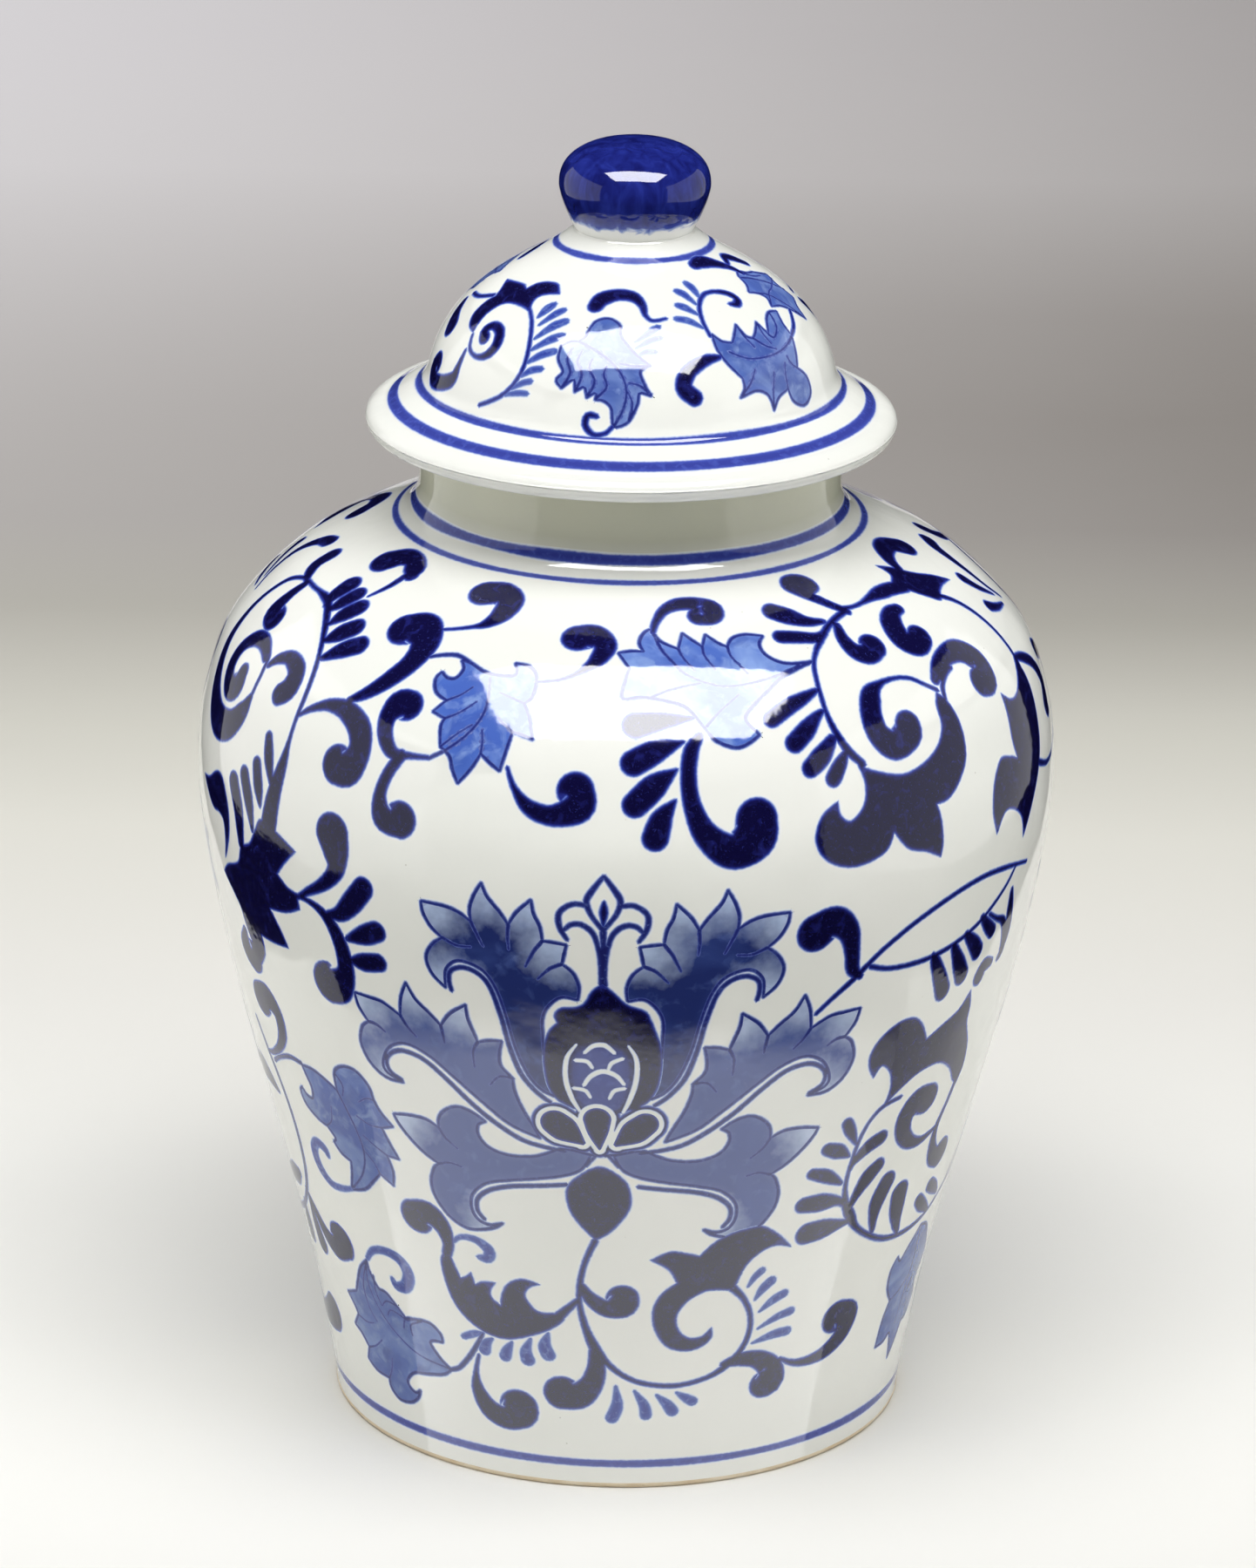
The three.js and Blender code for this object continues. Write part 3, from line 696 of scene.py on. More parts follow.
# Fine drawn lines: veins, and stems of the washed leaves.
JAR_LINES = [
    [(8.3, 262, 1.1), (10, 256.5, 1), (13, 252, 1), (17, 247.5, 0.8), (26, 243.8, 0.7),
     (38, 244.5, 0.7), (50, 247.4, 1)],
    [(15.3, 256.2, 1), (16.3, 253.2, 0.8), (19, 249, 0.6)],
    [(22.8, 256.6, 1), (22.8, 253.5, 0.8), (25, 249, 0.6)],
    [(30.5, 256, 1), (30.7, 252.5, 0.8), (34, 247, 0.6)],
    [(20, 232.5, 0.9), (24, 236.5, 0.7), (30, 241, 0.6)],
    [(5.5, 240.9, 0.9), (12, 243.5, 0.7), (20, 245, 0.6)],
    [(-60, 246, 1), (-55, 248, 1.1), (-50, 248.9, 1.2), (-45, 247.3, 1)],
    [(-38, 244, 0.9), (-36.5, 237, 0.9), (-37.2, 231.5, 0.9), (-40, 226.5, 0.9),
     (-44, 222.3, 1), (-48, 219.3, 1)],
    [(-47.7, 235.5, 0.9), (-44.5, 237.6, 0.7), (-41.8, 240.5, 0.6)],
    [(-46.4, 230.5, 0.9), (-42.8, 233, 0.7), (-39.5, 236.5, 0.6)],
    [(-45.5, 222.9, 0.9), (-42, 227, 0.7), (-38.8, 230, 0.6)],
    [(-35, 222.7, 0.9), (-35.2, 226, 0.7), (-36, 229, 0.6)],
    [(-28.2, 229.5, 0.9), (-30.3, 231, 0.7), (-32.6, 232.8, 0.6)],
    [(-26.8, 237.7, 0.9), (-30, 238.8, 0.7), (-34, 240, 0.6)],
    [(-114, 111, 1.2), (-109, 114, 1.3), (-102, 116.8, 1.4), (-96, 117, 1.4)],
    [(-85.5, 80.7, 1), (-79, 87.5, 0.9), (-76.2, 95, 0.9), (-77.5, 103, 0.9),
     (-81.8, 113.5, 1)],
    [(-71.4, 90.3, 0.9), (-73, 93.5, 0.7), (-76, 96.5, 0.6)],
    [(-67.3, 97.5, 0.9), (-70.5, 99, 0.7), (-75, 101.5, 0.6)],
    [(-67.3, 106.4, 0.9), (-71.5, 106, 0.7), (-76, 107.5, 0.6)],
    [(-90.5, 99.4, 0.9), (-87.6, 102, 0.8), (-86.2, 107, 0.6)],
    [(-68.2, 115, 0.9), (-71, 114.6, 0.7), (-74, 112.5, 0.6)],
    [(-80.9, 119, 0.9), (-79, 116, 0.8), (-80, 112.5, 0.6)],
    [(-56.4, 30.3, 1.2), (-53, 31.8, 1.3), (-48.5, 36.5, 1.4), (-45, 41.5, 1.3),
     (-43, 45, 1)],
    [(-86.4, 57.5, 0.9), (-88.5, 50, 0.8), (-86, 43, 0.7), (-80, 37, 0.7), (-70, 32, 0.7),
     (-57, 30.4, 0.9)],
    [(-86.4, 57.5, 0.9), (-91.5, 48, 0.8), (-91, 41, 0.7), (-88, 37, 0.6)],
    [(-84.8, 53, 0.8), (-85.2, 47.5, 0.8), (-83.5, 43.5, 0.7)],
    [(-83.5, 43.5, 0.7), (-80.5, 46, 0.9), (-75.9, 45.6, 0.9)],
    [(-81.5, 41, 0.7), (-79, 43.5, 0.8), (-72.3, 42.1, 0.9)],
    [(-74.5, 39, 0.7), (-73, 42.5, 0.9), (-68.2, 43.5, 0.9)],
    [(-71, 37.5, 0.7), (-71, 41, 0.8), (-66, 43.4, 0.8)],
    [(-99.1, 35.7, 0.9), (-94, 35, 0.7), (-90, 36, 0.6)],
    [(-95.5, 26.6, 0.9), (-91, 28.5, 0.7), (-87, 31.5, 0.6)],
    [(-86, 19.8, 0.9), (-84, 23, 0.7), (-83, 27, 0.6)],
    [(105.5, 40.7, 0.9), (111, 42, 0.7), (118, 46, 0.6)],
    [(114, 62, 0.9), (117, 52, 0.8), (117, 42, 0.7), (115, 30, 0.6)],
    [(-121, 122, 1.2), (-117.5, 113, 1.6), (-114, 104, 1.6), (-111.8, 95, 1.6),
     (-111.5, 85, 1.6), (-113.5, 76, 1.6), (-118, 68.5, 1.6), (-126, 61.5, 1.6),
     (-138, 56.5, 1.6), (-150, 54, 1.4)],
    # Crossing of the petals' edges above the bulb.
    [(-12.5, 110.2, 1.1), (-5, 108.6, 1), (3.5, 110.2, 1.1)],
    [(-8.8, 105, 1), (-4.6, 109.6, 0.9), (-0.2, 105, 1)],
]

# The left half of the lotus. Its right half is the same in the mirror.
LOTUS_PETALS = [
    [(-47, 181.2, 1), (-41.5, 181), (-38, 180), (-34.8, 177.8, 1), (-35, 181.5),
     (-34, 185.3), (-32.3, 188.9, 1), (-31, 185.5), (-28, 181.5), (-26, 178.2, 1),
     (-24, 182), (-20.8, 185.7, 1), (-20.2, 182), (-18.8, 178.5), (-18.2, 174.4, 1),
     (-16, 174.2), (-12.8, 173.7, 1), (-13.4, 170.5), (-13.8, 168, 1), (-11.3, 165.5),
     (-10, 161.5), (-10.3, 157.6, 1), (-14, 158.2), (-17, 155.4), (-18.6, 151.5),
     (-18.7, 146), (-18.4, 138), (-17.5, 131), (-16, 127, 1), (-19.5, 129.1),
     (-22.7, 133.6), (-25.5, 141.8), (-27.3, 150.9), (-29.5, 159.1), (-32.7, 164.1),
     (-38.2, 165.8), (-41.6, 162.5), (-42, 157, 1), (-45.2, 160.5), (-46.4, 165),
     (-44.8, 169), (-42, 171.8, 1), (-44.7, 174.5), (-46.5, 178)],
    [(-68.4, 148.6, 1), (-64, 148.4), (-60, 148), (-55.2, 145.2, 1), (-54.4, 151),
     (-52.6, 155.9, 1), (-50.5, 151.5), (-47, 148), (-44.2, 144.8, 1), (-41.5, 149),
     (-37.3, 152.5, 1), (-37, 148.5), (-35.8, 144.5), (-34.9, 141.5, 1), (-32, 142.5),
     (-28.8, 142.8, 1), (-29.6, 139), (-29.4, 135), (-26.6, 131.6, 1), (-26.4, 127.8),
     (-24.8, 122.5), (-22, 116.6), (-20.5, 113.2, 1), (-28.2, 116.8), (-34.5, 122.3),
     (-41.8, 129.1), (-48.2, 134.5), (-54.5, 136.8), (-59.6, 134.5), (-62.4, 129.5),
     (-62, 126), (-57.2, 123.9, 1), (-62.5, 124.2), (-66.8, 127.6), (-68.8, 133),
     (-67.6, 138.2), (-65.2, 140.6, 1), (-67.6, 144.6)],
    [(-62, 112.4, 1), (-57, 113.4), (-52, 113.4), (-48.3, 111.5, 1), (-47.8, 115),
     (-45.5, 118), (-42, 119.7), (-38.3, 118.8), (-34.8, 116.4, 1), (-36.9, 115),
     (-37.1, 111.5), (-34.5, 108), (-29, 106.3), (-22, 107), (-17, 109.3),
     (-15.5, 110.3, 1), (-12, 109.9), (-7.5, 108.6, 1), (-10, 104), (-14.5, 101.6),
     (-21.8, 99.8), (-30, 98.1), (-36.4, 96), (-40.7, 91.8), (-41.6, 87), (-40, 83.4),
     (-36.5, 82.2), (-32.7, 83.4, 1), (-36, 81.3), (-43, 79.8), (-48.5, 82.3),
     (-52.3, 87.5), (-53.2, 92.5), (-51.7, 97.5), (-49.9, 99.5, 1), (-54.5, 102.5),
     (-58.5, 106.5), (-61, 110)],
]

# Second edge of each petal, drawn a little outside the first.
LOTUS_LINES = [
    [(-40.5, 156.3, 1), (-41, 159.2, 1.1), (-40.4, 162.3, 1.1), (-37.3, 163.9, 1.1),
     (-33.6, 162.7, 1.1), (-30.9, 159.1, 1.1), (-28.6, 150.9, 1.1), (-26.9, 141.8, 1.1),
     (-24.5, 133.6, 1.1), (-20.9, 128.2, 1), (-17.3, 125, 0.9)],
    [(-57.3, 124.5, 0.9), (-60.8, 126.6, 1), (-61.2, 130.2, 1), (-58.6, 133.2, 1.1),
     (-55, 134.2, 1.1), (-50, 132.9, 1.1), (-44.5, 128.4, 1.1), (-37.3, 121, 1.1),
     (-30, 115, 1.1), (-23.6, 111.4, 1), (-14, 109.4, 1)],
    [(-14, 98.5, 1), (-20, 97.6, 1), (-29.1, 96.2, 1.1), (-35.5, 93.9, 1.1),
     (-39.4, 90.3, 1), (-39.8, 86.4, 1), (-38, 83.8, 0.9)],
    # Veins.
    [(-34.8, 177.8, 1), (-33.5, 174.5, 0.9), (-32, 171, 0.6)],
    [(-26, 178.2, 1), (-26.2, 174.5, 0.9), (-26, 171, 0.6)],
    [(-18.2, 174.4, 1), (-20.3, 171, 0.9), (-22.2, 166.4, 0.6)],
    [(-13.8, 168, 1), (-16.6, 166.4, 0.9), (-19.5, 163, 0.6)],
    [(-42, 171.8, 1), (-38.5, 170.2, 0.8), (-35, 170.4, 0.6)],
    [(-55.2, 145.2, 1), (-53.5, 142.2, 0.9), (-51.2, 139.6, 0.6)],
    [(-44.2, 144.8, 1), (-43.8, 141.5, 0.9), (-43.6, 139.5, 0.6)],
    [(-34.9, 141.5, 1), (-36.2, 138.5, 0.9), (-36.2, 133.5, 0.6)],
    [(-65.2, 140.6, 1), (-62.8, 140.4, 0.9), (-60.4, 138.8, 0.6)],
    [(-26.6, 131.6, 1), (-30, 131.6, 0.8), (-32.5, 128.6, 0.6)],
    [(-48.3, 111.5, 1), (-46.6, 108.5, 0.9), (-43.5, 105.8, 0.6)],
    [(-49.9, 99.5, 1), (-46.5, 100.6, 0.8), (-43, 100, 0.6)],
    # Half of the trefoil above the lotus.
    [(-4.5, 193.4, 0.8), (-6.8, 189.8, 1.3), (-8.3, 186.5, 1.4), (-7.4, 183, 1.1),
     (-6, 180.6, 1), (-4.5, 178.6, 1.4)],
    [(-8.3, 185.2, 1), (-11.4, 185.4, 1.1), (-14.3, 182.9, 1.2), (-14.3, 179, 1.3),
     (-12.5, 175.2, 0.8)],
    [(-13.4, 177.9, 0.8), (-11.8, 179.6, 1.1), (-9.4, 179.8, 1.2), (-6.9, 177.6, 1.2),
     (-5.6, 173.5, 1.1), (-5, 168, 1), (-4.8, 162, 1.2)],
]

# The lotus's dark heart, and what is left white or painted over it.
LOTUS_HEART = [
    (-4.5, 162.9, 1), (-7, 160.5), (-8.6, 157), (-10.6, 155.4), (-14.2, 154.8),
    (-15.8, 152.6), (-15.2, 150.2, 1), (-17.2, 147.5), (-18.5, 143), (-18.8, 137),
    (-17.8, 130), (-15, 125.5), (-9, 122.6), (-4.5, 122, 1), (0, 122.6), (6, 125.5),
    (8.8, 130), (9.8, 137), (9.5, 143), (8.2, 147.5), (6.9, 151.5), (5.4, 154.6),
    (1.2, 156.6), (-1.8, 160),
]
HEART_WHITES = [
    [(-10.6, 144, 0.9), (-13, 139.5, 1.5), (-13.4, 133, 1.7), (-12, 127, 1.6), (-10, 122.8, 1.1)],
    [(1.6, 144, 0.9), (3.6, 139.5, 1.5), (3.6, 133, 1.7), (2.2, 127, 1.6), (0.6, 122.8, 1.1)],
    [(-8.8, 141.4, 1.2), (-6.7, 143.7, 1.6), (-4, 144, 1.7), (-1.6, 141.6, 1.3)],
    [(-11, 139, 1.4), (-8.2, 138.8, 1.5), (-6.9, 136.8, 1.2)],
    [(0.4, 140, 1.3), (-2.2, 138.6, 1.5), (-3.1, 136.4, 1.1)],
    [(-9, 131.2, 1.3), (-7.3, 134.2, 1.7), (-4.4, 135.9, 1.8), (-1.2, 134.6, 1.6),
     (0.8, 131.8, 1.2)],
    [(-11.6, 130.2, 1.3), (-8.7, 129.6, 1.5), (-7.4, 127.4, 1.1)],
    [(1, 130.6, 1.3), (-1.6, 129.8, 1.5), (-2.8, 127.2, 1.1)],
]
# The egg at the lotus's heart, seen between its white lines, which turns paler inwards.
HEART_EGG = [(-5, 145.4), (-10.6, 143.4), (-12.9, 138.8), (-13, 132), (-11.2, 125.4), (-7.6, 121.6),
             (-2.2, 121.6), (1.5, 125.4), (3.2, 132), (3, 138.8), (0.8, 143.4)]
HEART_DROPS = [
    [(-16.3, 118.6, 8.2), (-13.5, 116.2, 7.8), (-9.6, 112.8, 2)],
    [(-5.8, 120.4, 7.6), (-5.6, 115.8, 5.4), (-5.2, 110.8, 0.8)],
    [(6.2, 119, 7.4), (3, 116, 7.4), (-0.8, 112.6, 2)],
]
TREFOIL_DROP = [(-4.4, 186.4, 0.8), (-4.4, 183.4, 2.3), (-4.5, 179.6, 0.7)]
TREFOIL_STEM = [(-4.5, 178, 1.8), (-4.4, 170, 1.3), (-4.4, 160, 2.6)]

# Filling for the bare strip at the side, where the two copies of the painting meet.
SIDE_COMMAS = [
    [(155.2, 111.5, 1), (161.5, 117, 2), (169.5, 116.5, 3.4), (174.5, 110, 5), (172.5, 103, 6.2)],
    [(155.8, 127.5, 1), (149, 129.5, 2), (142.5, 125.8, 4.2), (141, 118, 5.6)],
    [(150, 199, 1.1), (156, 203, 1.4), (160.5, 210, 3.2), (159, 218, 5), (153.5, 221, 5.8)],
    [(163.5, 262, 5.4), (158, 259.5, 4.8), (154, 252.5, 3.4), (154.5, 244, 2), (158.5, 237, 1)],
    [(164, 54.2, 1.1), (157.5, 54.6, 1.4), (152, 59, 2.4), (152.5, 66, 4.6), (157.5, 69.5, 5.6)],
    [(152, 17, 1), (147, 23, 2.2), (144.5, 31, 4.2), (148.5, 38, 5.8)],
]
SIDE_DROPS = [
    [(141.5, 162, 4), (145, 158.8, 2.8), (149.2, 153, 0.9)],
    [(140, 152.5, 4.2), (144, 150.5, 3), (149.8, 145.5, 0.9)],
    [(141.5, 142.5, 4), (146, 142, 2.8), (152, 138, 0.9)],
    [(166, 88, 4.4), (160.5, 90, 3), (151, 97.5, 0.9)],
    [(167, 98, 4.2), (162, 99.2, 3), (153.6, 104, 0.9)],
    [(160, 191, 4.2), (156, 193.5, 3), (151, 198.6, 0.9)],
    [(144, 251, 4.4), (147, 246, 3), (153.6, 240, 0.9)],
    [(141, 241, 4), (146, 238.6, 2.8), (154, 236.5, 0.9)],
]
SIDE_STEMS = [
    [(140, 84, 1.2), (149, 94.5, 1.4), (155, 110, 1.5), (156, 127, 1.5), (151, 142, 1.4),
     (149, 156, 1.3), (153, 168, 1.2), (159, 175, 1)],
]
SIDE_LEAF = [
    [(159, 175, 1), (163.5, 179.5), (170, 178, 1), (171.5, 172), (178, 171, 1), (176, 163),
     (180, 155.5, 1), (172.5, 154.5), (169, 146, 1), (164.5, 152), (158, 148.5, 1),
     (159.5, 156.5), (154.5, 161.5, 1), (157.5, 168.5)],
]
SIDE_VEINS = [
    [(159, 175, 0.9), (164, 168, 0.8), (168, 158, 0.7), (169, 147.5, 0.6)],
    [(177, 170.3, 0.8), (172.5, 167.5, 0.7), (166, 164, 0.6)],
    [(155.5, 161.6, 0.8), (161, 162, 0.7), (167, 160.6, 0.6)],
]

# The lid's painting, in its own chart.
LID_LEAVES = [
    [(-64.2, 56.1, 1), (-58.3, 57), (-51.7, 57.6), (-47.8, 56.7, 1), (-45.4, 59.4),
     (-40.6, 61), (-34.8, 61), (-30.6, 57.8, 1), (-36.1, 56.7), (-39, 54.8), (-38.6, 52),
     (-36.6, 49.8, 1), (-42, 50.8), (-48.3, 50.6), (-52.2, 48.7), (-54.4, 44.4),
     (-54.1, 38.9, 1), (-58.3, 40), (-61.1, 43.3), (-60.8, 47.8), (-58.9, 50.6, 1),
     (-60.3, 52.8)],
]
LID_WASHES = [
    [(-13.6, 48, 1), (-12.1, 50.5), (-8, 51.6), (-4.2, 49.6), (-3.5, 46.3), (-0.8, 42.8),
     (2, 40), (5, 37.7, 1), (2.2, 36.3), (3, 33), (4.8, 29.6, 1), (2, 30.3), (1.4, 27.3),
     (-0.8, 22.7), (-4.4, 21, 1), (-4.6, 24), (-5, 26.4), (-6.8, 28), (-9, 28.2, 1),
     (-9, 30), (-11.2, 28.6, 1), (-12.1, 31.3), (-14.4, 29.8, 1), (-15.1, 33),
     (-18, 30.4, 1), (-19.8, 32.4), (-18.4, 34.8), (-20.6, 38.2), (-20.8, 41.9, 1),
     (-18.6, 43.4), (-16, 43.8, 1), (-14.4, 45.4)],
    [(25, 45.6, 1), (27.4, 43), (30.6, 42.2, 1), (32.6, 44.4), (35, 47.2, 1), (36.1, 43.5),
     (38.3, 42.2, 1), (40.4, 43.6), (43.3, 46.4, 1), (45, 42, 1), (48.3, 46), (52, 47.8),
     (56.1, 47.2, 1), (54.2, 43.5), (54.4, 39.4, 1), (51.7, 34.4), (49.8, 31, 1),
     (52.6, 27.8), (52.6, 23.3), (48.9, 21.1), (45, 23.2), (43.9, 26.7, 1), (40, 25.2),
     (37.8, 22.2, 1), (36.8, 26.4), (33.3, 28.3), (28.3, 27.2, 1), (30, 29.5), (30, 32.2, 1),
     (26.8, 36.7), (25, 41)],
    [(56.5, 61, 1), (55.3, 57.8), (52, 55.5, 1), (56.5, 53.8), (58, 51.5), (56, 49, 1),
     (61, 47.8), (65, 45), (69.5, 40.5, 1), (71.2, 44.4), (76, 46.5, 1), (75.2, 52),
     (79, 55.5, 1), (75, 57.2), (70, 59.5, 1), (65, 60.5), (60.5, 62.5)],
]
LID_STROKES = [
    [(-53.8, 38.5, 1), (-51.5, 34.8, 1.1), (-47.5, 33.5, 1.2), (-43.7, 34.8, 2.6),
     (-41.9, 38.3, 3.4), (-43.5, 42, 3.2), (-47.2, 43, 2.8), (-49.6, 41, 3), (-47.8, 38.9, 3.8)],
    [(-65.5, 26.5, 6.4), (-67.3, 24.2, 6), (-64.5, 22.1, 4.6), (-59, 22.8, 4.4),
     (-54, 25.3, 4.2), (-53, 29, 2.4), (-52.9, 34, 1)],
    [(-69, 36.5, 6.5), (-73, 39.4, 5), (-76, 43, 3)],
    [(-75, 46.5, 1.4), (-68, 47.5, 1.4), (-60, 50.5, 1.4)],
    [(-14, 55.5, 4.4), (-12.3, 58.2, 5), (-6.4, 60, 4.2), (0, 59.5, 3.6), (3.4, 56.6, 2.4),
     (4.4, 53, 1.3), (6.8, 51.2, 1.1), (11.5, 51.8, 0.9)],
    [(-4.4, 21.5, 1), (-6, 19.6, 1.2), (-8.8, 19, 1.4), (-11, 21.3, 1.8), (-10.5, 24, 1.7),
     (-8.3, 23.8, 1.4)],
    [(24.3, 45, 1), (23.8, 50, 1.1), (25.3, 55, 1.2), (29.5, 58.4, 1.3), (35, 59, 1.4),
     (40.5, 57.6, 2), (43, 55.2, 2.2), (41.3, 53.3, 2.6), (38, 53.8, 1.2)],
    [(15.8, 28.6, 4.6), (13.3, 31.5, 4.6), (15.2, 35.6, 4.2), (20, 38.2, 3.4),
     (25.2, 38.8, 1.4)],
    [(37.5, 69.3, 3.6), (42, 69.7, 4.8), (48, 69, 4.6), (54, 67, 3.4), (59, 64.4, 2.4),
     (61.6, 61, 1.6)],
    [(61, 66, 1.8), (66, 67.8, 3), (72, 65.6, 3.4), (76, 62, 2.6)],
    [(54.4, 39.5, 1.2), (59, 41.6, 1.3), (64, 45.5, 1.2)],
    [(-39.2, 51.6, 0.9), (-34.3, 47.4, 1.1), (-31.1, 41.4, 1.2), (-30, 35, 1.2),
     (-31.4, 29.6, 1.1), (-35, 25.2, 1.1), (-41, 21.6, 1)],
]
LID_WASH_STROKES = [
    [(-30.2, 54, 2), (-31.7, 52, 2.6), (-33, 49, 0.8)],
    [(-25.2, 52.8, 1.8), (-27.5, 51, 2.1), (-31, 46.8, 0.7)],
    [(-22.6, 49.3, 2.1), (-26, 47.2, 2.4), (-30.2, 42.5, 0.7)],
    [(-21.6, 44.8, 1.9), (-25, 43.1, 2.2), (-30, 39, 0.7)],
    [(-22.4, 40, 1.8), (-26, 38.4, 2), (-30.3, 35, 0.7)],
    [(-24.6, 34.7, 1.5), (-27.5, 33.8, 1.7), (-31, 31, 0.6)],
    [(-26.7, 31, 1.4), (-29.2, 30, 1.5), (-33, 27.2, 0.6)],
    [(-27, 27.6, 1.2), (-30, 27.2, 1.4), (-35, 25.6, 0.6)],
    [(25.2, 63.5, 1.7), (26.7, 61.5, 2.1), (27.5, 57.4, 0.6)],
    [(19, 61, 1.8), (21.5, 59.6, 2.1), (24.6, 55.6, 0.7)],
    [(17, 56, 1.7), (19.5, 55, 2.1), (23.6, 52, 0.6)],
    [(15, 51.5, 1.6), (19, 50.5, 1.9), (23.4, 47.6, 0.6)],
    [(8.4, 49.2, 1.5), (5.6, 47.6, 1.9), (0.6, 44.4, 0.6)],
    [(8.8, 45.8, 1.4), (5.4, 45, 1.7), (1, 42.6, 0.6)],
    [(6.8, 41.6, 1.3), (4, 41.6, 1.6), (1.6, 40.6, 0.6)],
]
LID_LINES = [
    [(-16, 43.8, 0.9), (-9, 40.8, 0.9), (-3.6, 36.4, 0.8), (-1.4, 31.4, 0.8),
     (-2, 26, 0.9), (-4.4, 21, 1)],
    [(-18, 30.6, 1), (-16.4, 34.6, 1), (-18, 38.4, 0.8), (-17.4, 41.4, 0.6)],
    [(-14.4, 30, 1), (-13.2, 34.4, 1), (-15, 38, 0.8), (-14.4, 41, 0.6)],
    [(-11.2, 28.8, 1), (-9.6, 32.8, 1), (-11.4, 36.4, 0.8), (-11, 39, 0.6)],
    [(-9, 28.4, 1), (-6.4, 31.6, 0.9), (-7.4, 35, 0.8), (-6.8, 37.4, 0.6)],
    [(4.8, 29.8, 0.9), (2.2, 32.2, 0.8), (-0.8, 33, 0.6)],
    [(-0.6, 23, 0.9), (0.2, 27.4, 0.8), (-1, 30.6, 0.6)],
    [(5, 37.7, 0.9), (0.6, 37.6, 0.8), (-3.4, 38.2, 0.6)],
    [(54.4, 39.4, 1), (49, 37.4, 0.8), (42, 36.4, 0.7), (34, 37, 0.7), (28.4, 39.8, 0.8)],
    [(35, 47.2, 0.8), (35.6, 43.4, 0.7), (37.4, 39.6, 0.6)],
    [(43.3, 46.4, 0.8), (43, 42.6, 0.7), (44, 39.4, 0.6)],
    [(37.8, 22.2, 0.8), (38.6, 27, 0.7), (40.6, 32, 0.6)],
    [(43.9, 26.7, 0.8), (44.4, 30.4, 0.7), (45.8, 33.6, 0.6)],
    [(49.8, 31, 0.8), (48.2, 32.6, 0.7), (47.6, 35, 0.6)],
    [(56, 49, 0.8), (62, 52.4, 0.7), (68, 53, 0.6), (78, 54, 0.6)],
    [(57, 60.4, 0.9), (63, 58.4, 0.9), (70, 54.6, 0.8), (76, 49.6, 0.6)],
    [(60.5, 62, 0.9), (66, 58.8, 0.8), (72, 57.2, 0.6)],
    [(56.5, 54, 0.9), (62, 51, 0.8), (69, 41.2, 0.8)],
    [(28.6, 27.6, 0.9), (32, 30.4, 0.8), (34.6, 33.8, 0.6)],
    [(52, 47.4, 0.9), (50.4, 43.4, 0.8), (46.6, 40.8, 0.8), (45, 42, 0.9)],
    [(38.3, 42.4, 0.9), (41.4, 39.4, 0.8), (45, 37.6, 0.6)],
]


# ---- Materials -----------------------------------------------------------------------------


def colour(code):
    """Linear RGBA from a six-figure hex colour."""
    parts = [int(code[i:i + 2], 16) / 255 for i in (0, 2, 4)]
    return [c / 12.92 if c <= 0.04045 else ((c + 0.055) / 1.055)**2.4 for c in parts] + [1.0]


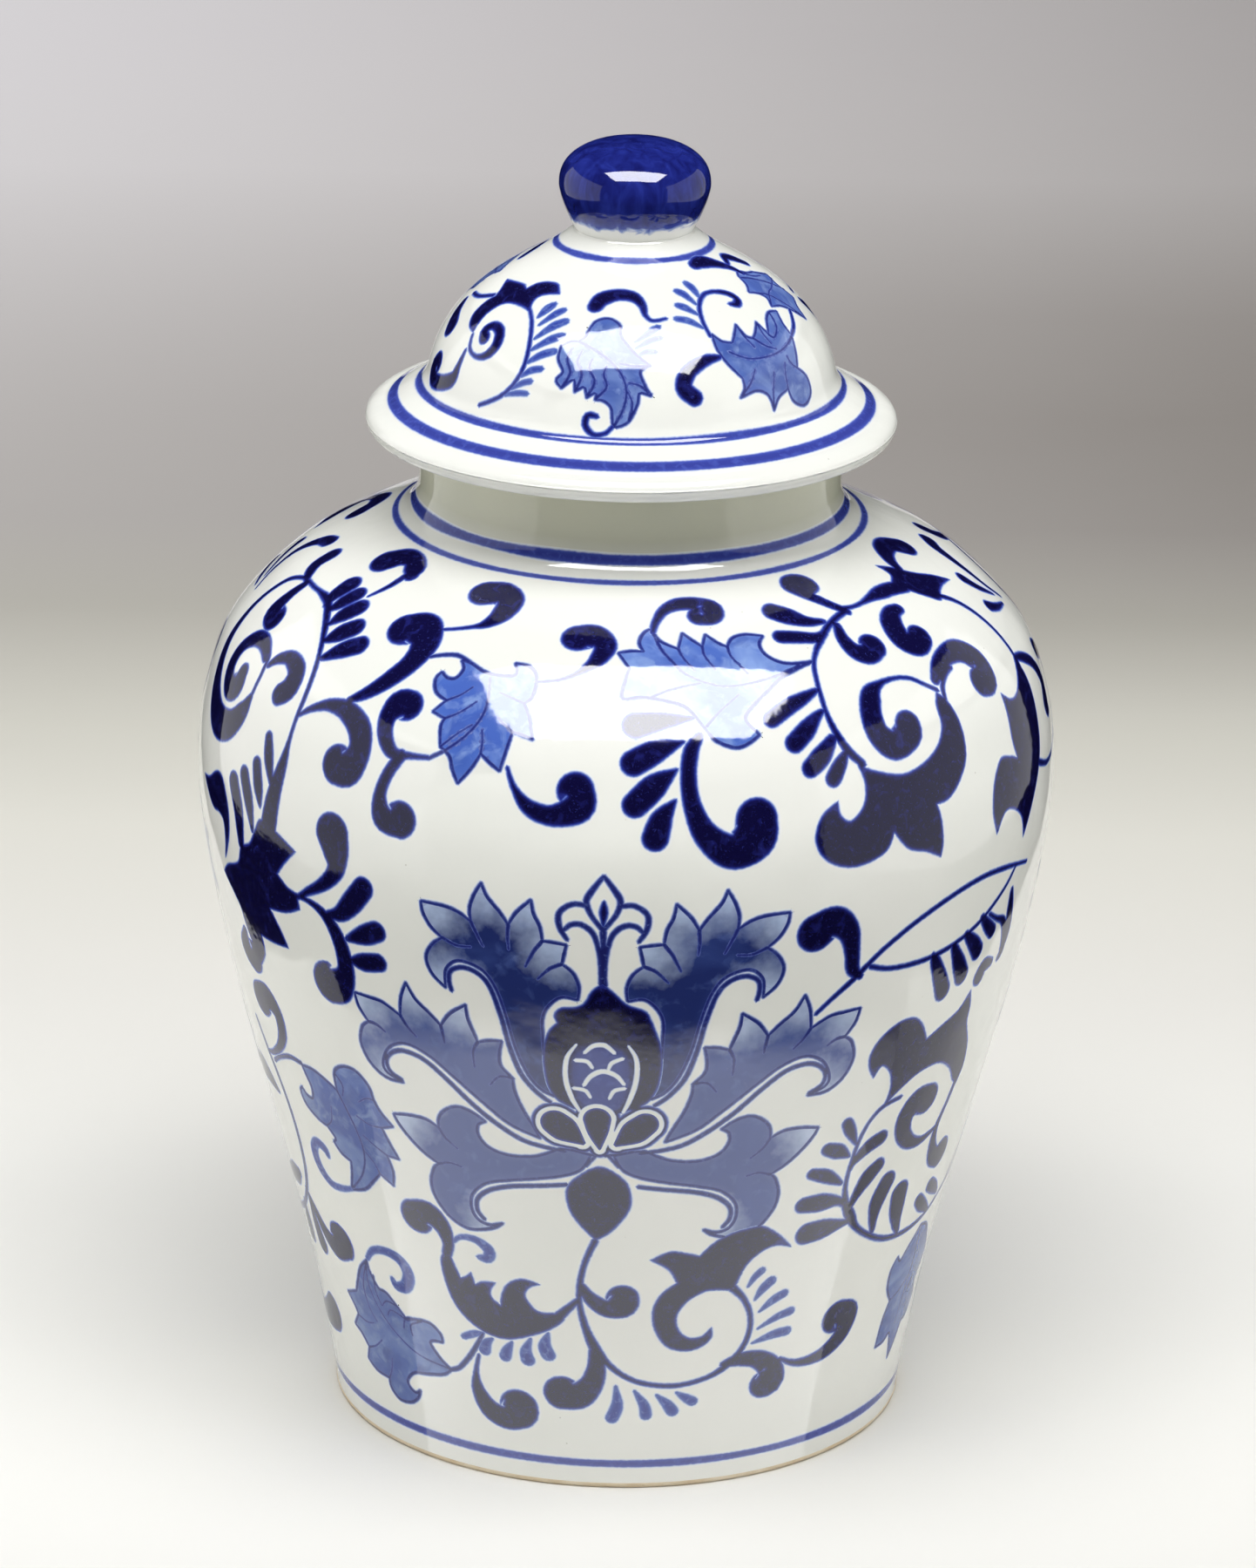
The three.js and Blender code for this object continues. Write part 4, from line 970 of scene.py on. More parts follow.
class Graph:
    """A material's nodes, with short calls for the few kinds that the glaze and paints need."""

    def __init__(self, name, roughness=0.06):
        self.material = bpy.data.materials.new(name)
        self.material.use_nodes = True
        self.tree = self.material.node_tree
        self.shader = self.tree.nodes["Principled BSDF"]
        self.shader.inputs["Roughness"].default_value = roughness
        self.shader.inputs["IOR"].default_value = 1.55
        self.place = self.add("ShaderNodeTexCoord").outputs["Object"]

    def add(self, kind, **settings):
        node = self.tree.nodes.new(kind)
        for key, value in settings.items():
            setattr(node, key, value)
        return node

    def feed(self, socket, value):
        if hasattr(value, "is_output"):
            self.tree.links.new(value, socket)
        else:
            socket.default_value = value

    def axis(self, letter):
        """Position along the object's X, Y or Z, in metres."""
        node = self.add("ShaderNodeSeparateXYZ")
        self.feed(node.inputs[0], self.place)
        return node.outputs[letter]

    def value(self, key):
        """A value stored at the mesh's points."""
        return self.add("ShaderNodeAttribute", attribute_name=key).outputs["Fac"]

    def math(self, operation, a, b=0.0):
        node = self.add("ShaderNodeMath", operation=operation)
        self.feed(node.inputs[0], a)
        self.feed(node.inputs[1], b)
        return node.outputs[0]

    def noise(self, scale, detail=3.0, distortion=0.0, stretch=(1, 1, 1)):
        """Noise about 0.5, with a scale in waves to the metre."""
        mapping = self.add("ShaderNodeMapping")
        mapping.inputs["Scale"].default_value = stretch
        self.feed(mapping.inputs["Vector"], self.place)
        node = self.add("ShaderNodeTexNoise")
        self.feed(node.inputs["Vector"], mapping.outputs[0])
        node.inputs["Scale"].default_value = scale
        node.inputs["Detail"].default_value = detail
        node.inputs["Distortion"].default_value = distortion
        return node.outputs["Fac"]

    def remap(self, value, low, high, to_low=0.0, to_high=1.0):
        node = self.add("ShaderNodeMapRange")
        for socket, number in zip(node.inputs, (value, low, high, to_low, to_high)):
            self.feed(socket, number)
        return node.outputs[0]

    def ramp(self, value, stops):
        """A colour from a value by (value, colour) stops."""
        low, high = stops[0][0], stops[-1][0]
        node = self.add("ShaderNodeValToRGB")
        self.feed(node.inputs[0], self.remap(value, low, high))
        elements = node.color_ramp.elements
        while len(elements) < len(stops):
            elements.new(0.5)
        for element, (at, code) in zip(elements, stops):
            element.position = (at - low) / (high - low)
            element.color = colour(code)
        return node.outputs["Color"]

    def mix(self, share, a, b, blend="MIX"):
        node = self.add("ShaderNodeMix", data_type="RGBA", blend_type=blend)
        self.feed(node.inputs[0], share)
        self.feed(node.inputs[6], a)
        self.feed(node.inputs[7], b)
        return node.outputs[2]

    def bump(self, height, distance, strength=1.0):
        node = self.add("ShaderNodeBump")
        node.inputs["Strength"].default_value = strength
        node.inputs["Distance"].default_value = distance
        self.feed(node.inputs["Height"], height)
        self.feed(self.shader.inputs["Normal"], node.outputs[0])

    def glaze_surface(self):
        """The gentle unevenness of a dipped glaze, the same under every paint."""
        swell = self.noise(22, 2.0)
        ripple = self.math("MULTIPLY", self.noise(160, 2.0), 0.06)
        self.bump(self.math("ADD", swell, ripple), 0.0011)

    def finish(self, base):
        self.feed(self.shader.inputs["Base Color"], base)
        return self.material


GLAZE = ("e8e9e2", "eeeee8")
NECK_SHADE_AND_POOL_START = (0.254, 0.262)  # metres up the jar between which the painted neck shade and greener pooled glaze come in
NECK_SHADE_AND_POOL_END = (0.2757, 0.2758)  # and between which it ends, just above the lip
SHADED = (0.17, 0.10)  # metres up the jar between which the washes turn a little darker and greyer: painted shade towards the foot


def glaze_colour(g):
    """White porcelain seen through a clear glaze that is a little greener where it pools."""
    return g.ramp(g.noise(14, 2.0), [(0.3, GLAZE[0]), (0.7, GLAZE[1])])


def glaze(name):
    """Clear gloss glaze over white porcelain, with a few fine iron specks.

    On the jar's neck it is darker and greener: painted shade from the lid's brim, together with
    glaze pooled thicker there.
    """
    g = Graph(name)
    g.glaze_surface()
    # Painted shade: the neck is darkened and yellowed from 254 mm up to the lip, as under the lid's
    # brim, together with a greener tint of pooled glaze.
    neck = g.math("MULTIPLY", g.remap(g.axis("Z"), *NECK_SHADE_AND_POOL_START),
                  g.remap(g.axis("Z"), *NECK_SHADE_AND_POOL_END, 1.0, 0.0))
    specks = g.add("ShaderNodeTexVoronoi")
    g.feed(specks.inputs["Vector"], g.place)
    specks.inputs["Scale"].default_value = 95
    near = g.remap(specks.outputs["Distance"], 0.012, 0.03, 0.45, 0.0)
    base = g.mix(neck, glaze_colour(g), colour("e2e2d2"), "MULTIPLY")
    return g.finish(g.mix(near, base, colour("8f8a78")))


def ragged_depth(g, amount, scale=900):
    """Depth in from the edge of the paint, in mm, made a little uneven."""
    uneven = g.math("MULTIPLY", g.math("SUBTRACT", g.noise(scale, 3.0), 0.5), amount)
    return g.math("ADD", g.value("depth"), uneven)


def paint(name, stops, ragged=0.3, streaks=None, streak_share=0.5, pale=None, shade=False):
    """Cobalt under the glaze, from the glaze's own colour through the bleed to full strength.

    The stops are colours by depth. The streaks are clouds of another colour, each with its
    scale, the noise values between which it comes in, and its colour. The tips turn to pale. With
    shade, the paint is darkened towards the foot as painted shade.
    """
    g = Graph(name)
    g.glaze_surface()
    body = g.ramp(ragged_depth(g, ragged), [(-HALO, GLAZE[1])] + stops)
    inside = g.remap(g.value("depth"), 0.05, 0.5)
    for scale, low, high, code in streaks or []:
        cloud = g.remap(g.noise(scale, 4.0, 0.6), low, high, 0.0, streak_share)
        body = g.mix(g.math("MULTIPLY", cloud, inside), body, colour(code))
    if pale:
        uneven = g.math("MULTIPLY", g.math("SUBTRACT", g.noise(260), 0.5), 0.5)
        tip = g.remap(g.math("ADD", g.value("tip"), uneven), 0.1, 0.85, 0.0, 0.85)
        body = g.mix(g.math("MULTIPLY", tip, inside), body, colour(pale))
    if shade:
        # Painted shade: the washes are multiplied darker and greyer towards the foot.
        low = g.remap(g.axis("Z"), *SHADED)
        body = g.mix(g.math("MULTIPLY", low, inside), body, colour("d4d4da"), "MULTIPLY")
    return g.finish(body)


def knob_paint(name):
    """Solid cobalt brushed over the knob, ending in an uneven edge above its white foot.

    The edge's colours are given by height in mm.
    """
    g = Graph(name, 0.05)
    g.glaze_surface()
    height = g.math("MULTIPLY", g.axis("Z"), 1 / MM)
    dabs = g.math("MULTIPLY", g.math("SUBTRACT", g.noise(210, 3.0, 0.8), 0.5), 5.0)
    edge = g.math("ADD", height, dabs)
    blue = g.ramp(g.noise(230, 4.0, 1.2, (1, 1, 0.4)),
                  [(0.3, "111553"), (0.5, "19216b"), (0.72, "232e82")])
    low = g.ramp(edge, [(334.4, GLAZE[1]), (335.2, "8fa0cc"), (335.9, "3b4a9c"), (338.4, "171b6c")])
    return g.finish(g.mix(g.remap(edge, 336.2, 339.0), low, blue))


def biscuit(name):
    """Bare fired clay: matt, slightly sandy, with specks of darker grit."""
    g = Graph(name, 0.78)
    g.bump(g.noise(1500, 4.0), 0.00012)
    clay = g.ramp(g.noise(120, 3.0), [(0.3, "c9b391"), (0.55, "d8c9ad"), (0.75, "e2d8c4")])
    grit = g.remap(g.noise(2600, 2.0), 0.66, 0.74, 0.0, 0.5)
    return g.finish(g.mix(grit, clay, colour("96795a")))


def table_top(name):
    """Pale seamless sheet, with light and shade painted into its colour by metres along it."""
    g = Graph(name, 0.9)
    g.shader.inputs["Specular IOR Level"].default_value = 0.0
    # Painted light falloff: lightest just at the jar's foot, greying to a dark band about 0.7 m
    # behind it, then a little lighter again.
    painted_light_falloff = g.ramp(g.axis("Y"), [(-0.3, "dfdeda"), (0.0, "efeee9"), (0.15, "ebeae5"),
                                (0.30, "e2e0da"), (0.45, "dedcd3"), (0.55, "d1cfc5"),
                                (0.69, "b7b4ac"), (0.8, "b8b4b1"), (0.92, "bcb8b6"),
                                (1.33, "ccc9ca"), (1.6, "c8c5c7"), (2.6, "c4c1c4")])
    # Painted shade towards the back: beyond about 0.6 m the sheet also darkens to the right.
    side = g.ramp(g.axis("X"), [(-0.35, "ffffff"), (0.35, "bab6b0")])
    far = g.ramp(g.axis("Y"), [(0.58, "000000"), (0.69, "979797"), (0.8, "e7e7e7"),
                               (0.95, "ffffff"), (1.1, "fbfbfb"), (1.33, "dadada")])
    painted_light_falloff = g.mix(far, painted_light_falloff, side, "MULTIPLY")
    return g.finish(g.mix(g.remap(g.noise(7, 3.0), 0.3, 0.7, 0.0, 0.03), painted_light_falloff, colour("c8c6c4")))


# Colours by depth in from the edge of the paint, in mm.
DARK_STOPS = [(-0.42, "dfe4ea"), (-0.16, "8da0d2"), (0.04, "4a5fb0"), (0.3, "262f86"),
              (0.75, "131347"), (1.5, "0d0b33")]
LINE_STOPS = [(-0.4, "dde3e9"), (-0.15, "8b9ccb"), (0.05, "44539c"), (0.35, "262d72"),
              (1.0, "1c205e")]
WASH_BLEED = [(-0.35, "d9e1ec"), (-0.12, "8ea5d6")]
WASH_STOPS = WASH_BLEED + [(0.1, "506dbb"), (0.8, "4a68ba"), (2.2, "4663b5")]
LID_WASH_STOPS = [(-0.35, "d9e1ec"), (-0.12, "8ea2cf"), (0.1, "4b62a8"), (0.8, "4a62aa"),
                  (2.2, "465ca0")]
PETAL_STOPS = WASH_BLEED + [(0.1, "2c3b78"), (0.8, "25326c"), (2.2, "222e66")]
PETAL_LOW_STOPS = WASH_BLEED + [(0.1, "566498"), (0.8, "4d5b93"), (2.2, "485791")]
DROP_STOPS = [(-0.4, "dbe2ea"), (-0.12, "8598cc"), (0.1, "4d64ae"), (0.6, "36479a"),
              (1.4, "2c3a8c")]
BAND_STOPS = [(-0.4, "dbe1ea"), (-0.15, "8c9bd0"), (0.05, "4856ac"), (0.4, "3b479a"),
              (1.0, "363f90")]
EGG_STOPS = [(0.0, "0f0d38"), (0.7, "131447"), (1.8, "232f7a"), (3.5, "2b3a88")]
WHITE_STOPS = [(-0.05, "2a2f74"), (0.1, "8c9ac8"), (0.3, "dde3ea"), (0.6, "e8ebe6")]

MATERIALS = {
    "jar glaze": glaze("jar glaze"),
    "lid glaze": glaze("lid glaze"),
    "dark": paint("cobalt", DARK_STOPS, 0.34,
                  [(330, 0.55, 0.75, "262b7c"), (1500, 0.62, 0.74, "3a4494")], 0.5),
    "line": paint("cobalt line", LINE_STOPS, 0.3, [(700, 0.55, 0.75, "5265ad")], 0.6),
    "wash": paint("cobalt wash", WASH_STOPS, 0.3,
                  [(48, 0.45, 0.68, "8fabe0"), (210, 0.5, 0.72, "8aa4d6"),
                   (120, 0.56, 0.72, "3f58a6")], 0.75, shade=True),
    "lid wash": paint("lid wash", LID_WASH_STOPS, 0.3,
                      [(60, 0.45, 0.68, "7d95ca"), (230, 0.5, 0.72, "8196c6"),
                       (130, 0.56, 0.72, "354a90")], 0.75),
    "petal": paint("petal wash", PETAL_STOPS, 0.3,
                   [(48, 0.5, 0.75, "3c5092"), (230, 0.55, 0.8, "4a5f9e")], 0.6, "b9cae8"),
    "petal low": paint("low petal wash", PETAL_LOW_STOPS, 0.3,
                       [(48, 0.5, 0.75, "5365a2"), (230, 0.55, 0.8, "5f74ad")], 0.6, "c2d0e8"),
    "drop": paint("thinned cobalt", DROP_STOPS, 0.3, [(500, 0.5, 0.7, "6f86c4")], 0.6),
    "band": paint("cobalt band", BAND_STOPS, 0.34, [(420, 0.5, 0.72, "4d5cb4")], 0.7),
    "egg": paint("egg cobalt", EGG_STOPS, 0.6, [(420, 0.5, 0.72, "3a4a96")], 0.7),
    "white": paint("reserved white", WHITE_STOPS, 0.16),
    "knob": knob_paint("knob cobalt"),
    "biscuit": biscuit("bare clay"),
    "table": table_top("table top"),
}


# ---- Turned pieces -------------------------------------------------------------------------


def jar_outer():
    """Outer wall of the jar from the foot to the top of the neck."""
    fillet = rounded((62.4, 253.0), (57.6, 254.8), (NECK_RADIUS, 262), 10)
    neck = [(NECK_RADIUS, z) for z in (266, 270, 274)]
    return np.vstack([spline(JAR_WALL, 12), fillet[1:], neck])


def lid_outer():
    """Outer surface of the lid from the widest point of the brim to the collar."""
    roll = rounded(BRIM_EDGE, (BRIM_EDGE[0], 283.0), BRIM_TOP, 10, 0.55)
    slope = [(64.2, 284.6), (61.5, 286.4), BRIM_FOOT, (57.7, 288.4)]
    return np.vstack([roll, slope, spline(DOME, 6)])


JAR = Drawing(jar_outer(), JAR_CHART)
LID = Drawing(lid_outer(), LID_CHART)
LID.run += LID_CHART_TOP - LID.run[-1]


def jar_porcelain():
    """The jar's shell: outer skin, lip, inside, sunk underside and bare foot ring."""
    wall = spline(JAR_WALL, 4)
    inner = inset(wall, 5.5)
    inner = inner[(inner[:, 1] > 17) & (inner[:, 1] < 247)][::-1]
    corner = inner[-1]
    low = rounded(corner, (corner[0] - 1.2, 10.5), (corner[0] - 9, 10.5), 6)
    lip_out = rounded((NECK_RADIUS - GLAZE_INSET, 274.0), (NECK_RADIUS - GLAZE_INSET, NECK_TOP),
                      (NECK_RADIUS - 1.6, NECK_TOP), 6)
    bore = NECK_RADIUS - NECK_WALL
    lip_in = rounded((bore + 1.6, NECK_TOP), (bore, NECK_TOP), (bore, 274.0), 6)
    under = [(0, 4.0), (66, 4.0), (70.6, 3.9), (71.8, 3.0), (72.6, 0.3), (77.5, 0.3)]
    profile = np.vstack([under, JAR.skin, lip_out, lip_in, [(bore, 264), (bore, 256)],
                         inner, low[1:], [(0, 10.5)]])
    piece("jar_porcelain", *turned(profile, 240), MATERIALS["jar glaze"], "jar", ["jar_body"],
          "jar_glaze")
    ring = [(72.9, 0.8), (73.1, 0.2), (73.6, 0.0), (77.6, 0.0), (78.2, 0.25), (78.55, 0.7),
            (78.6, 1.4), (78.3, 1.8), (77.0, 1.6), (74.0, 1.4)]
    piece("jar_foot_ring", *turned(ring, 240), MATERIALS["biscuit"], "jar", [], "jar_glaze")


def lid_porcelain():
    """The lid's shell: rolled brim, dome outside and in, and the glaze pooled round the knob."""
    dome = spline(DOME, 6)
    hollow = inset(dome, 4.6)
    hollow = hollow[(hollow[:, 1] > 291) & (hollow[:, 0] > 12)][::-1]
    under_roll = rounded((BRIM_EDGE[0] - 4.2, LID_SEAT), (BRIM_EDGE[0], LID_SEAT),
                         (BRIM_EDGE[0] - GLAZE_INSET, BRIM_EDGE[1]), 10, 0.55)
    bore = RING_RADIUS - RING_WALL
    pooled = [(16.1, 331.6), (15.8, 332.1), (15.75, 332.8), (12, 332.8), (0, 332.8)]
    profile = np.vstack([[(0, hollow[0, 1] + 0.6)], hollow, [(48.8, 286.5), (bore, 278.4),
                         (bore, LID_SEAT)], under_roll, LID.skin, pooled])
    piece("lid_porcelain", *turned(profile, 240), MATERIALS["lid glaze"], "lid", ["lid_dome"],
          "lid_glaze")


def lid_ring():
    """The bare clay ring under the lid that keeps it central in the neck."""
    outer, inner = RING_RADIUS, RING_RADIUS - RING_WALL
    bottom = LID_SEAT - RING_DEPTH
    profile = np.vstack([
        [(inner, NECK_TOP), (inner, bottom + 5)],
        rounded((inner, bottom + 1), (inner, bottom), (inner + 1, bottom), 5),
        rounded((outer - 1, bottom), (outer, bottom), (outer, bottom + 1), 5),
        [(outer, bottom + 5), (outer, NECK_TOP)],
    ])
    piece("lid_ring_biscuit", *turned(profile, 180), MATERIALS["biscuit"], "lid",
          ["lid_locating_ring"], "lid_biscuit")


def lid_knob():
    """The solid knob: a waist that swells to a full, slightly flattened ball."""
    up = np.linspace(0, 1, 25)
    side = np.stack([KNOB_RADIUS - (KNOB_RADIUS - KNOB_WAIST) * (1 - up)**1.43,
                     KNOB_FOOT + (KNOB_WIDEST - KNOB_FOOT) * up], 1)
    angle = np.linspace(0, math.pi / 2, 33)[1:]
    power = 2 / 2.36
    crown = np.stack([KNOB_RADIUS * np.maximum(np.cos(angle), 0)**power,
                      KNOB_WIDEST + (KNOB_TOP - KNOB_WIDEST) * np.sin(angle)**power], 1)
    crown[-1, 0] = 0
    profile = np.vstack([[(0, KNOB_FOOT)], side, crown])
    piece("lid_knob_cobalt", *turned(profile, 180), MATERIALS["knob"], "lid", ["lid_knob"],
          "knob_glaze")


def band(name, drawing, s, width, body, slot_name, wobble=0.12):
    """A painted line right round, a little unsteady in height and width."""
    rows = [(-width / 2 - HALO, -HALO), (-width / 2, 0.0), (-width / 2 + RIM, RIM),
            (0.0, width / 2), (width / 2 - RIM, RIM), (width / 2, 0.0), (width / 2 + HALO, -HALO)]
    count = BAND_POINTS
    angle = np.linspace(-math.pi, math.pi, count, endpoint=False)
    phase = RNG.uniform(0, 2 * math.pi, 6)
    drift = sum(np.sin(k * angle + phase[k - 2]) / k for k in (2, 3, 5)) * wobble
    swell = np.ones(count)
    if width < 3:
        swell += BAND_SWELL * sum(np.sin(k * angle + phase[k - 4]) / 2 for k in (4, 7, 9))
    chart, depth, lift = [], [], []
    for offset, deep in rows:
        chart.append(np.stack([angle * drawing.chart, s + drift + offset * swell], 1))
        depth.append(np.full(count, deep))
        lift.append(np.full(count, BLEED_LIFT if deep < 0 else BAND_LIFT))
    position, normal = drawing.place(np.vstack(chart), np.concatenate(lift))
    faces = []
    for row in range(len(rows) - 1):
        for i in range(count):
            j = (i + 1) % count
            a, b = row * count, (row + 1) * count
            faces.append((a + i, a + j, b + j, b + i))
    piece(name, position, faces, MATERIALS["band"], body, [], slot_name, normal,
          {"depth": np.concatenate(depth)})


# ---- Painting ------------------------------------------------------------------------------


def edges(items, width):
    """Strokes along the outlines of shapes, parted and thinned at their sharp points."""
    out = []
    for item in items:
        sharp = [i for i, p in enumerate(item) if len(p) > 2]
        ring = item[sharp[0]:] + item[:sharp[0] + 1]
        stops = [i - sharp[0] for i in sharp] + [len(item)]
        for a, b in zip(stops, stops[1:]):
            run = [(p[0], p[1], width) for p in ring[a:b + 1]]
            run[0] = run[0][:2] + (width * 0.8,)
            run[-1] = run[-1][:2] + (width * 0.8,)
            out.append(run)
    return out


# Where a line's bleed ends over a wash, it has the depth at which its colour is like the wash.
DEPTH_OVER_WASH = 0.02
DEPTH_OVER_PETAL = 0.3
DEPTH_OVER_LID_WASH = 0.1


def wider(items, by):
    """The same strokes, made wider by so many mm."""
    return [[(x, s, width + by) for x, s, width in item] for item in items]


def pale_tips(items, root):
    """The sharp points that stick out of the shapes, but for those near the flower's root."""
    tips = []
    for item in items:
        ring = np.array([p[:2] for p in item])
        area = twice_area(ring)
        into, away = ring - np.roll(ring, 1, 0), np.roll(ring, -1, 0) - ring
        turn = into[:, 0] * away[:, 1] - into[:, 1] * away[:, 0]
        tips += [p[:2] for p, t in zip(item, turn) if len(p) > 2 and t * area > 0]
    return [p for p in tips if math.dist(p, root) > ROOT_REACH]


def paint_layer(name, drawing, shapes, strokes, layer, material, body, slot_name, halo=HALO,
                tips=(), over=()):
    """One painted skin from shapes and strokes."""
    outlines = [shape(item) for item in shapes]
    middles = []
    for item in strokes:
        outline, middle = stroke(drawing, item)
        outlines.append(outline)
        middles.append(middle)
    painted(name, drawing, outlines, middles, layer, MATERIALS[material], body, slot_name, halo,
            tips, over)


def jar_painting(side, turn):
    """The whole scrolling lotus, turned round the jar by so many chart millimetres."""
    petals = LOTUS_PETALS + mirrored(LOTUS_PETALS, LOTUS_AXIS)
    petal_lines = wider(LOTUS_LINES + mirrored(LOTUS_LINES, LOTUS_AXIS), 0.2)
    washes = JAR_WASHES + SIDE_LEAF + petals
    pale = [shape(item) for item in shifted(JAR_WASHES + SIDE_LEAF, turn)]
    strong = [shape(item) for item in shifted(petals, turn)]
    under = [(pale, DEPTH_OVER_WASH), (strong, DEPTH_OVER_PETAL)]
    layers = {
        "wash": (JAR_WASHES + SIDE_LEAF, [], "wash", "wash", HALO),
        "petals": (petals[::3], [], "wash", "petal", HALO),
        "petals_low": (petals[1:3] + petals[4:], [], "wash", "petal low", HALO),
        "drops": ([], JAR_WASH_STROKES, "line", "drop", HALO),
        "lines": ([], edges(washes, 1.05) + JAR_LINES + SIDE_VEINS + petal_lines
                  + [TREFOIL_STEM],
                  "line", "line", HALO),
        "cobalt": (JAR_LEAVES + [LOTUS_HEART],
                   JAR_COMMAS + JAR_SPIRALS + JAR_DROPS + JAR_STEMS + SIDE_COMMAS + SIDE_DROPS
                   + SIDE_STEMS + [TREFOIL_DROP] + wider(HEART_DROPS, 4.6),
                   "dark", "dark", HALO),
        "egg": ([HEART_EGG], [], "egg", "egg", 0.0),
        "reserve": ([], HEART_WHITES + wider(HEART_DROPS, 2.8), "white", "white", 0.0),
        "heart": ([], HEART_DROPS, "top", "dark", 0.0),
    }
    for key, (shapes, strokes, layer, material, halo) in layers.items():
        shapes, strokes = shifted(shapes, turn), shifted(strokes, turn)
        tips = pale_tips(shapes, (LOTUS_AXIS + turn, LOTUS_ROOT)) if "petals" in key else ()
        paint_layer(f"jar_{key}_{side}", JAR, shapes, strokes, layer, material,
                    "jar", "jar_glaze", halo, tips, under if key == "lines" else ())


def lid_painting(side, turn):
    """The lid's spray, turned round the lid by so many chart millimetres."""
    layers = {
        "wash": (LID_WASHES, [], "wash", "lid wash"),
        "drops": ([], LID_WASH_STROKES, "line", "drop"),
        "lines": ([], edges(LID_WASHES, 0.85) + LID_LINES, "line", "line"),
        "cobalt": (LID_LEAVES, LID_STROKES, "dark", "dark"),
    }
    for key, (shapes, strokes, layer, material) in layers.items():
        shapes, strokes = shifted(shapes, turn), shifted(strokes, turn)
        pale = [shape(item) for item in shifted(LID_WASHES, turn)]
        over = [(pale, DEPTH_OVER_LID_WASH)] if key == "lines" else ()
        paint_layer(f"lid_{key}_{side}", LID, shapes, strokes, layer, material,
                    "lid", "lid_glaze", over=over)


def bands():
    """The six bands: at the foot, below and above the neck's foot, and three on the lid."""
    band("jar_band_foot", JAR, 6.8, 2.0, "jar", "jar_glaze")
    band("jar_band_neck_low", JAR, 281.4, 1.5, "jar", "jar_glaze")
    band("jar_band_neck_high", JAR, 288.2, 2.4, "jar", "jar_glaze")
    band("lid_band_brim", LID, 8.85, 3.0, "lid", "lid_glaze", 0.15)
    band("lid_band_dome", LID, 17.4, 1.9, "lid", "lid_glaze", 0.25)
    band("lid_band_collar", LID, 72.5, 1.6, "lid", "lid_glaze")


# ---- Studio --------------------------------------------------------------------------------

TABLE_SIDE = 0.3  # further out than this, the glaze doesn't mirror the table
TABLE_SPLIT = -0.06  # nearer than this, the glow stands for the table in the glaze
GLOW_DROP = 0.0005  # how far the glow lies under the table's top
OVERHEAD = (0.03, -0.42)  # x and y of the two soft boxes above the jar, which face down
OVERHEAD_SIZE = (1.15, 0.62)
PANEL_DISTANCE, PANEL_HEIGHT = 0.92, 0.335  # the soft boxes at both sides face each other
PANEL_SIZE = (1.6, 0.97)
CAMERA_PLACE = (0, -1.909, 0.8434)
CAMERA_DIP = 0.33697  # radians below level
CAMERA_ROLL = 0.01543


def table(name, left, right, front, back, mirrored_in_glaze):
    """A stretch of the pale sheet under the jar, as a grid of 24 by 24 squares."""
    across, along = np.linspace(left, right, 25), np.linspace(front, back, 25)
    points = [(x, y, 0.0) for y in along for x in across]
    corners = [25 * row + column for row in range(24) for column in range(24)]
    faces = [(i, i + 1, i + 26, i + 25) for i in corners]
    mesh = bpy.data.meshes.new(name)
    mesh.from_pydata(points, [], faces)
    mesh.materials.append(MATERIALS["table"])
    obj = added(name, mesh)
    obj.visible_glossy = mirrored_in_glaze


def softbox(name, place, aim, width, height, radiance):
    """A rectangular diffuser whose face has the given radiance."""
    light = bpy.data.lights.new(name, "AREA")
    light.shape = "RECTANGLE"
    light.size, light.size_y = width, height
    light.energy = radiance * math.pi * width * height
    obj = added(name, light)
    obj.location = place
    obj.rotation_euler = (Vector(aim) - Vector(place)).to_track_quat("-Z", "Y").to_euler()
    return obj


def table_glow():
    """The brightest part of the table, just in front of the jar, as its glaze mirrors it.

    It fades with distance from the jar's axis and towards both sides, and only reflections
    show it.
    """
    g = Graph("table glow")
    g.tree.nodes.remove(g.shader)
    far = g.add("ShaderNodeVectorMath", operation="LENGTH")
    g.feed(far.inputs[0], g.place)
    near = g.remap(far.outputs["Value"], 0.245, 0.275, 1.0, 0.0)
    middle = g.remap(g.math("ABSOLUTE", g.axis("X")), 0.14, 0.34, 1.0, 0.0)
    lamp = g.add("ShaderNodeEmission")
    g.feed(lamp.inputs["Strength"], g.math("MULTIPLY", g.math("MULTIPLY", near, middle), 2.1))
    output = g.tree.nodes["Material Output"]
    g.feed(output.inputs["Surface"], lamp.outputs[0])
    corners = ((-0.35, -0.35), (0.35, -0.35), (0.35, TABLE_SPLIT), (-0.35, TABLE_SPLIT))
    mesh = bpy.data.meshes.new("table_glow")
    mesh.from_pydata([(x, y, -GLOW_DROP) for x, y in corners], [], [(0, 1, 2, 3)])
    mesh.materials.append(g.material)
    obj = added("table_glow", mesh)
    obj.visible_camera = False
    obj.visible_diffuse = False
    obj.visible_shadow = False


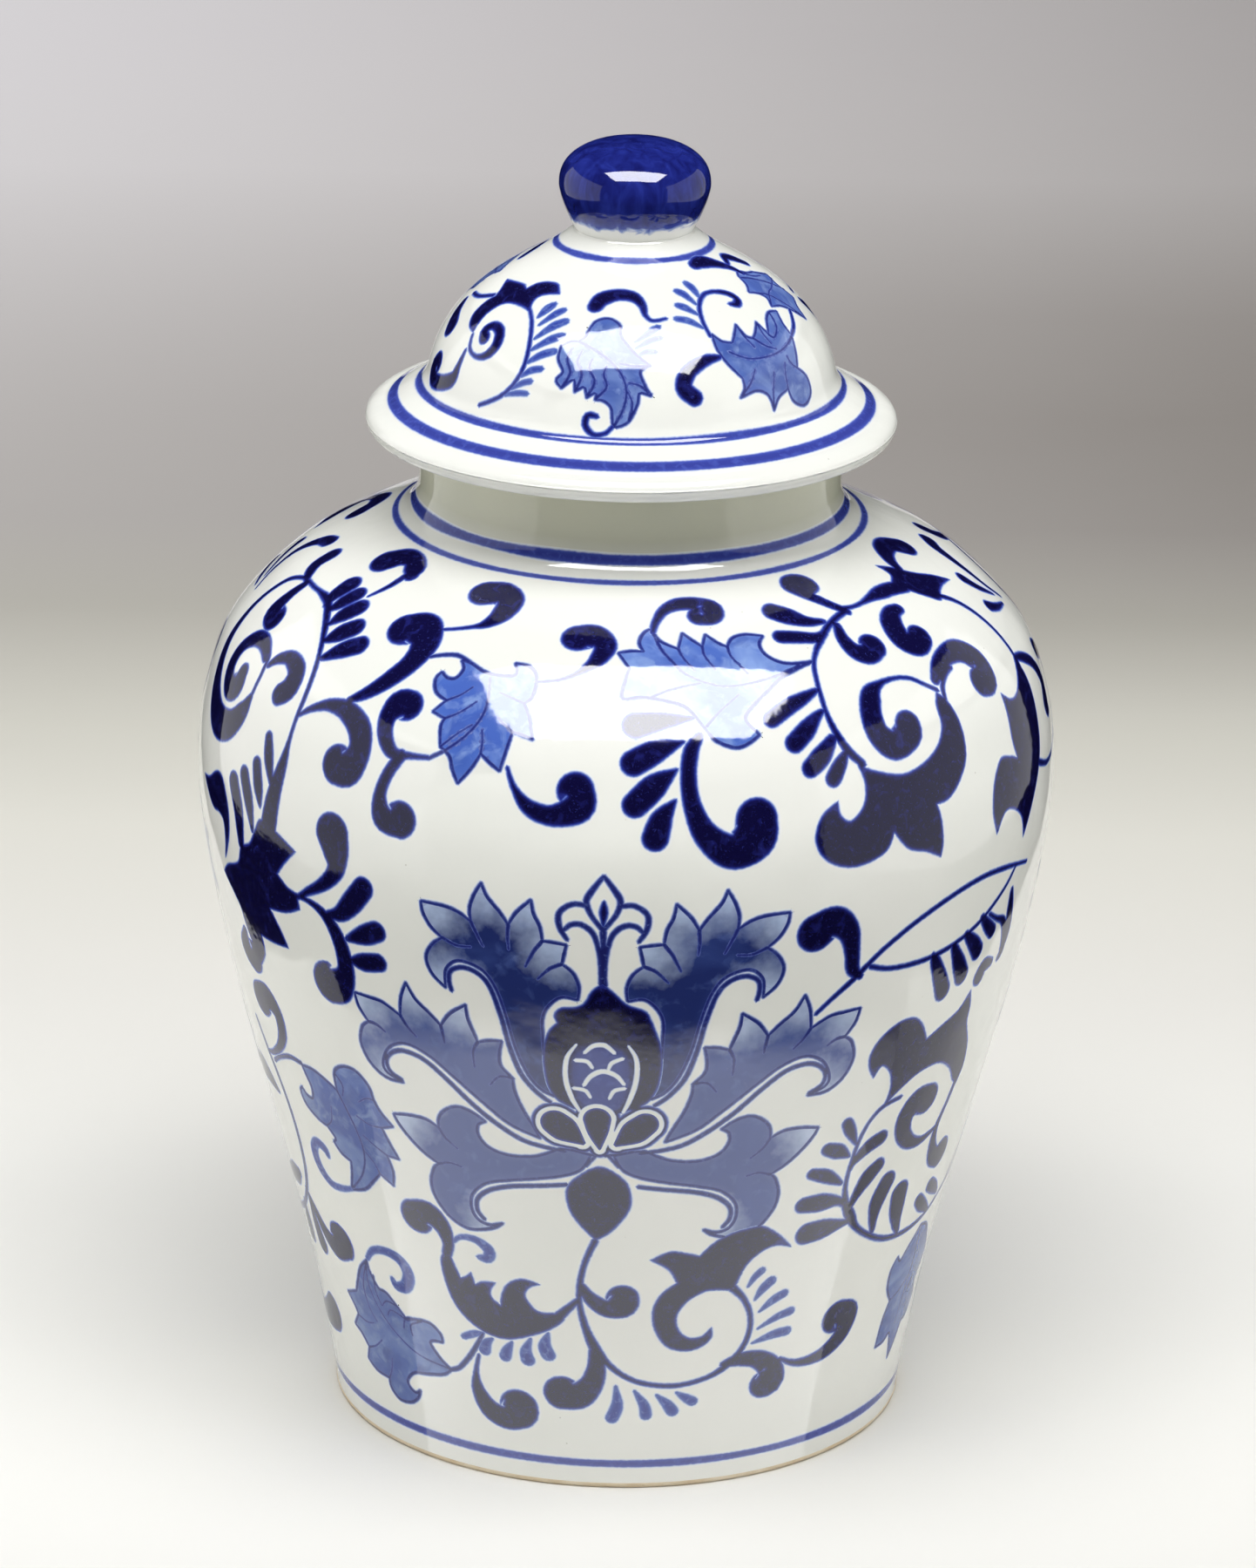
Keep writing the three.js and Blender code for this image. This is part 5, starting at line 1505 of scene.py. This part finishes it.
def studio():
    """The sheet, the soft boxes and the dim world.

    Overhead, one soft box makes the highlights and another one lights the clay and paint.
    """
    table("table_near", -3.0, 3.0, -1.6, TABLE_SPLIT, False)
    table("table_left", -3.0, -TABLE_SIDE, TABLE_SPLIT, 4.0, False)
    table("table_middle", -TABLE_SIDE, TABLE_SIDE, TABLE_SPLIT, 4.0, True)
    table("table_right", TABLE_SIDE, 3.0, TABLE_SPLIT, 4.0, False)
    shine, fill = (softbox(name, (*OVERHEAD, 1.2), (*OVERHEAD, 0.0), *OVERHEAD_SIZE, radiance)
                   for name, radiance in (("overhead", 16.0), ("overhead fill", 9.3)))
    shine.visible_diffuse = False
    fill.visible_glossy = False
    aim = (0, 0.05, PANEL_HEIGHT)
    for name, side, radiance in (("left panel", -1, 0.8), ("right panel", 1, 0.72)):
        softbox(name, (side * PANEL_DISTANCE, 0.05, PANEL_HEIGHT), aim, *PANEL_SIZE, radiance)
    far = softbox("backdrop light", (-0.45, 1.75, 1.1), (-0.45, 1.75, 0), 2.2, 1.0, 2.8)
    far.visible_glossy = False
    table_glow()
    world = bpy.data.worlds.new("studio")
    world.use_nodes = True
    background = world.node_tree.nodes["Background"]
    background.inputs["Color"].default_value = (0.95, 0.97, 1.0, 1)
    background.inputs["Strength"].default_value = 0.15
    bpy.context.scene.world = world
    world.cycles_visibility.glossy = False
    bpy.context.scene.view_settings.view_transform = "Standard"


def camera():
    """The camera at the photo's angle, with a long lens."""
    data = bpy.data.cameras.new("camera")
    data.sensor_width = 36.0
    data.lens = 170.08
    data.shift_x = 0.0015
    data.clip_end = 50
    data.dof.use_dof = False
    obj = added("camera", data)
    tilt = math.pi / 2 - CAMERA_DIP
    obj.matrix_world = (Matrix.Translation(CAMERA_PLACE) @ Matrix.Rotation(tilt, 4, "X")
                        @ Matrix.Rotation(CAMERA_ROLL, 4, "Z"))
    bpy.context.scene.camera = obj


# ---- Assembly ------------------------------------------------------------------------------

camera()
studio()
jar_porcelain()
lid_porcelain()
lid_ring()
lid_knob()
bands()
for side, half_turn in (("front", 0.0), ("back", 1.0)):
    jar_painting(side, half_turn * math.pi * JAR_CHART)
    lid_painting(side, half_turn * math.pi * LID_CHART)
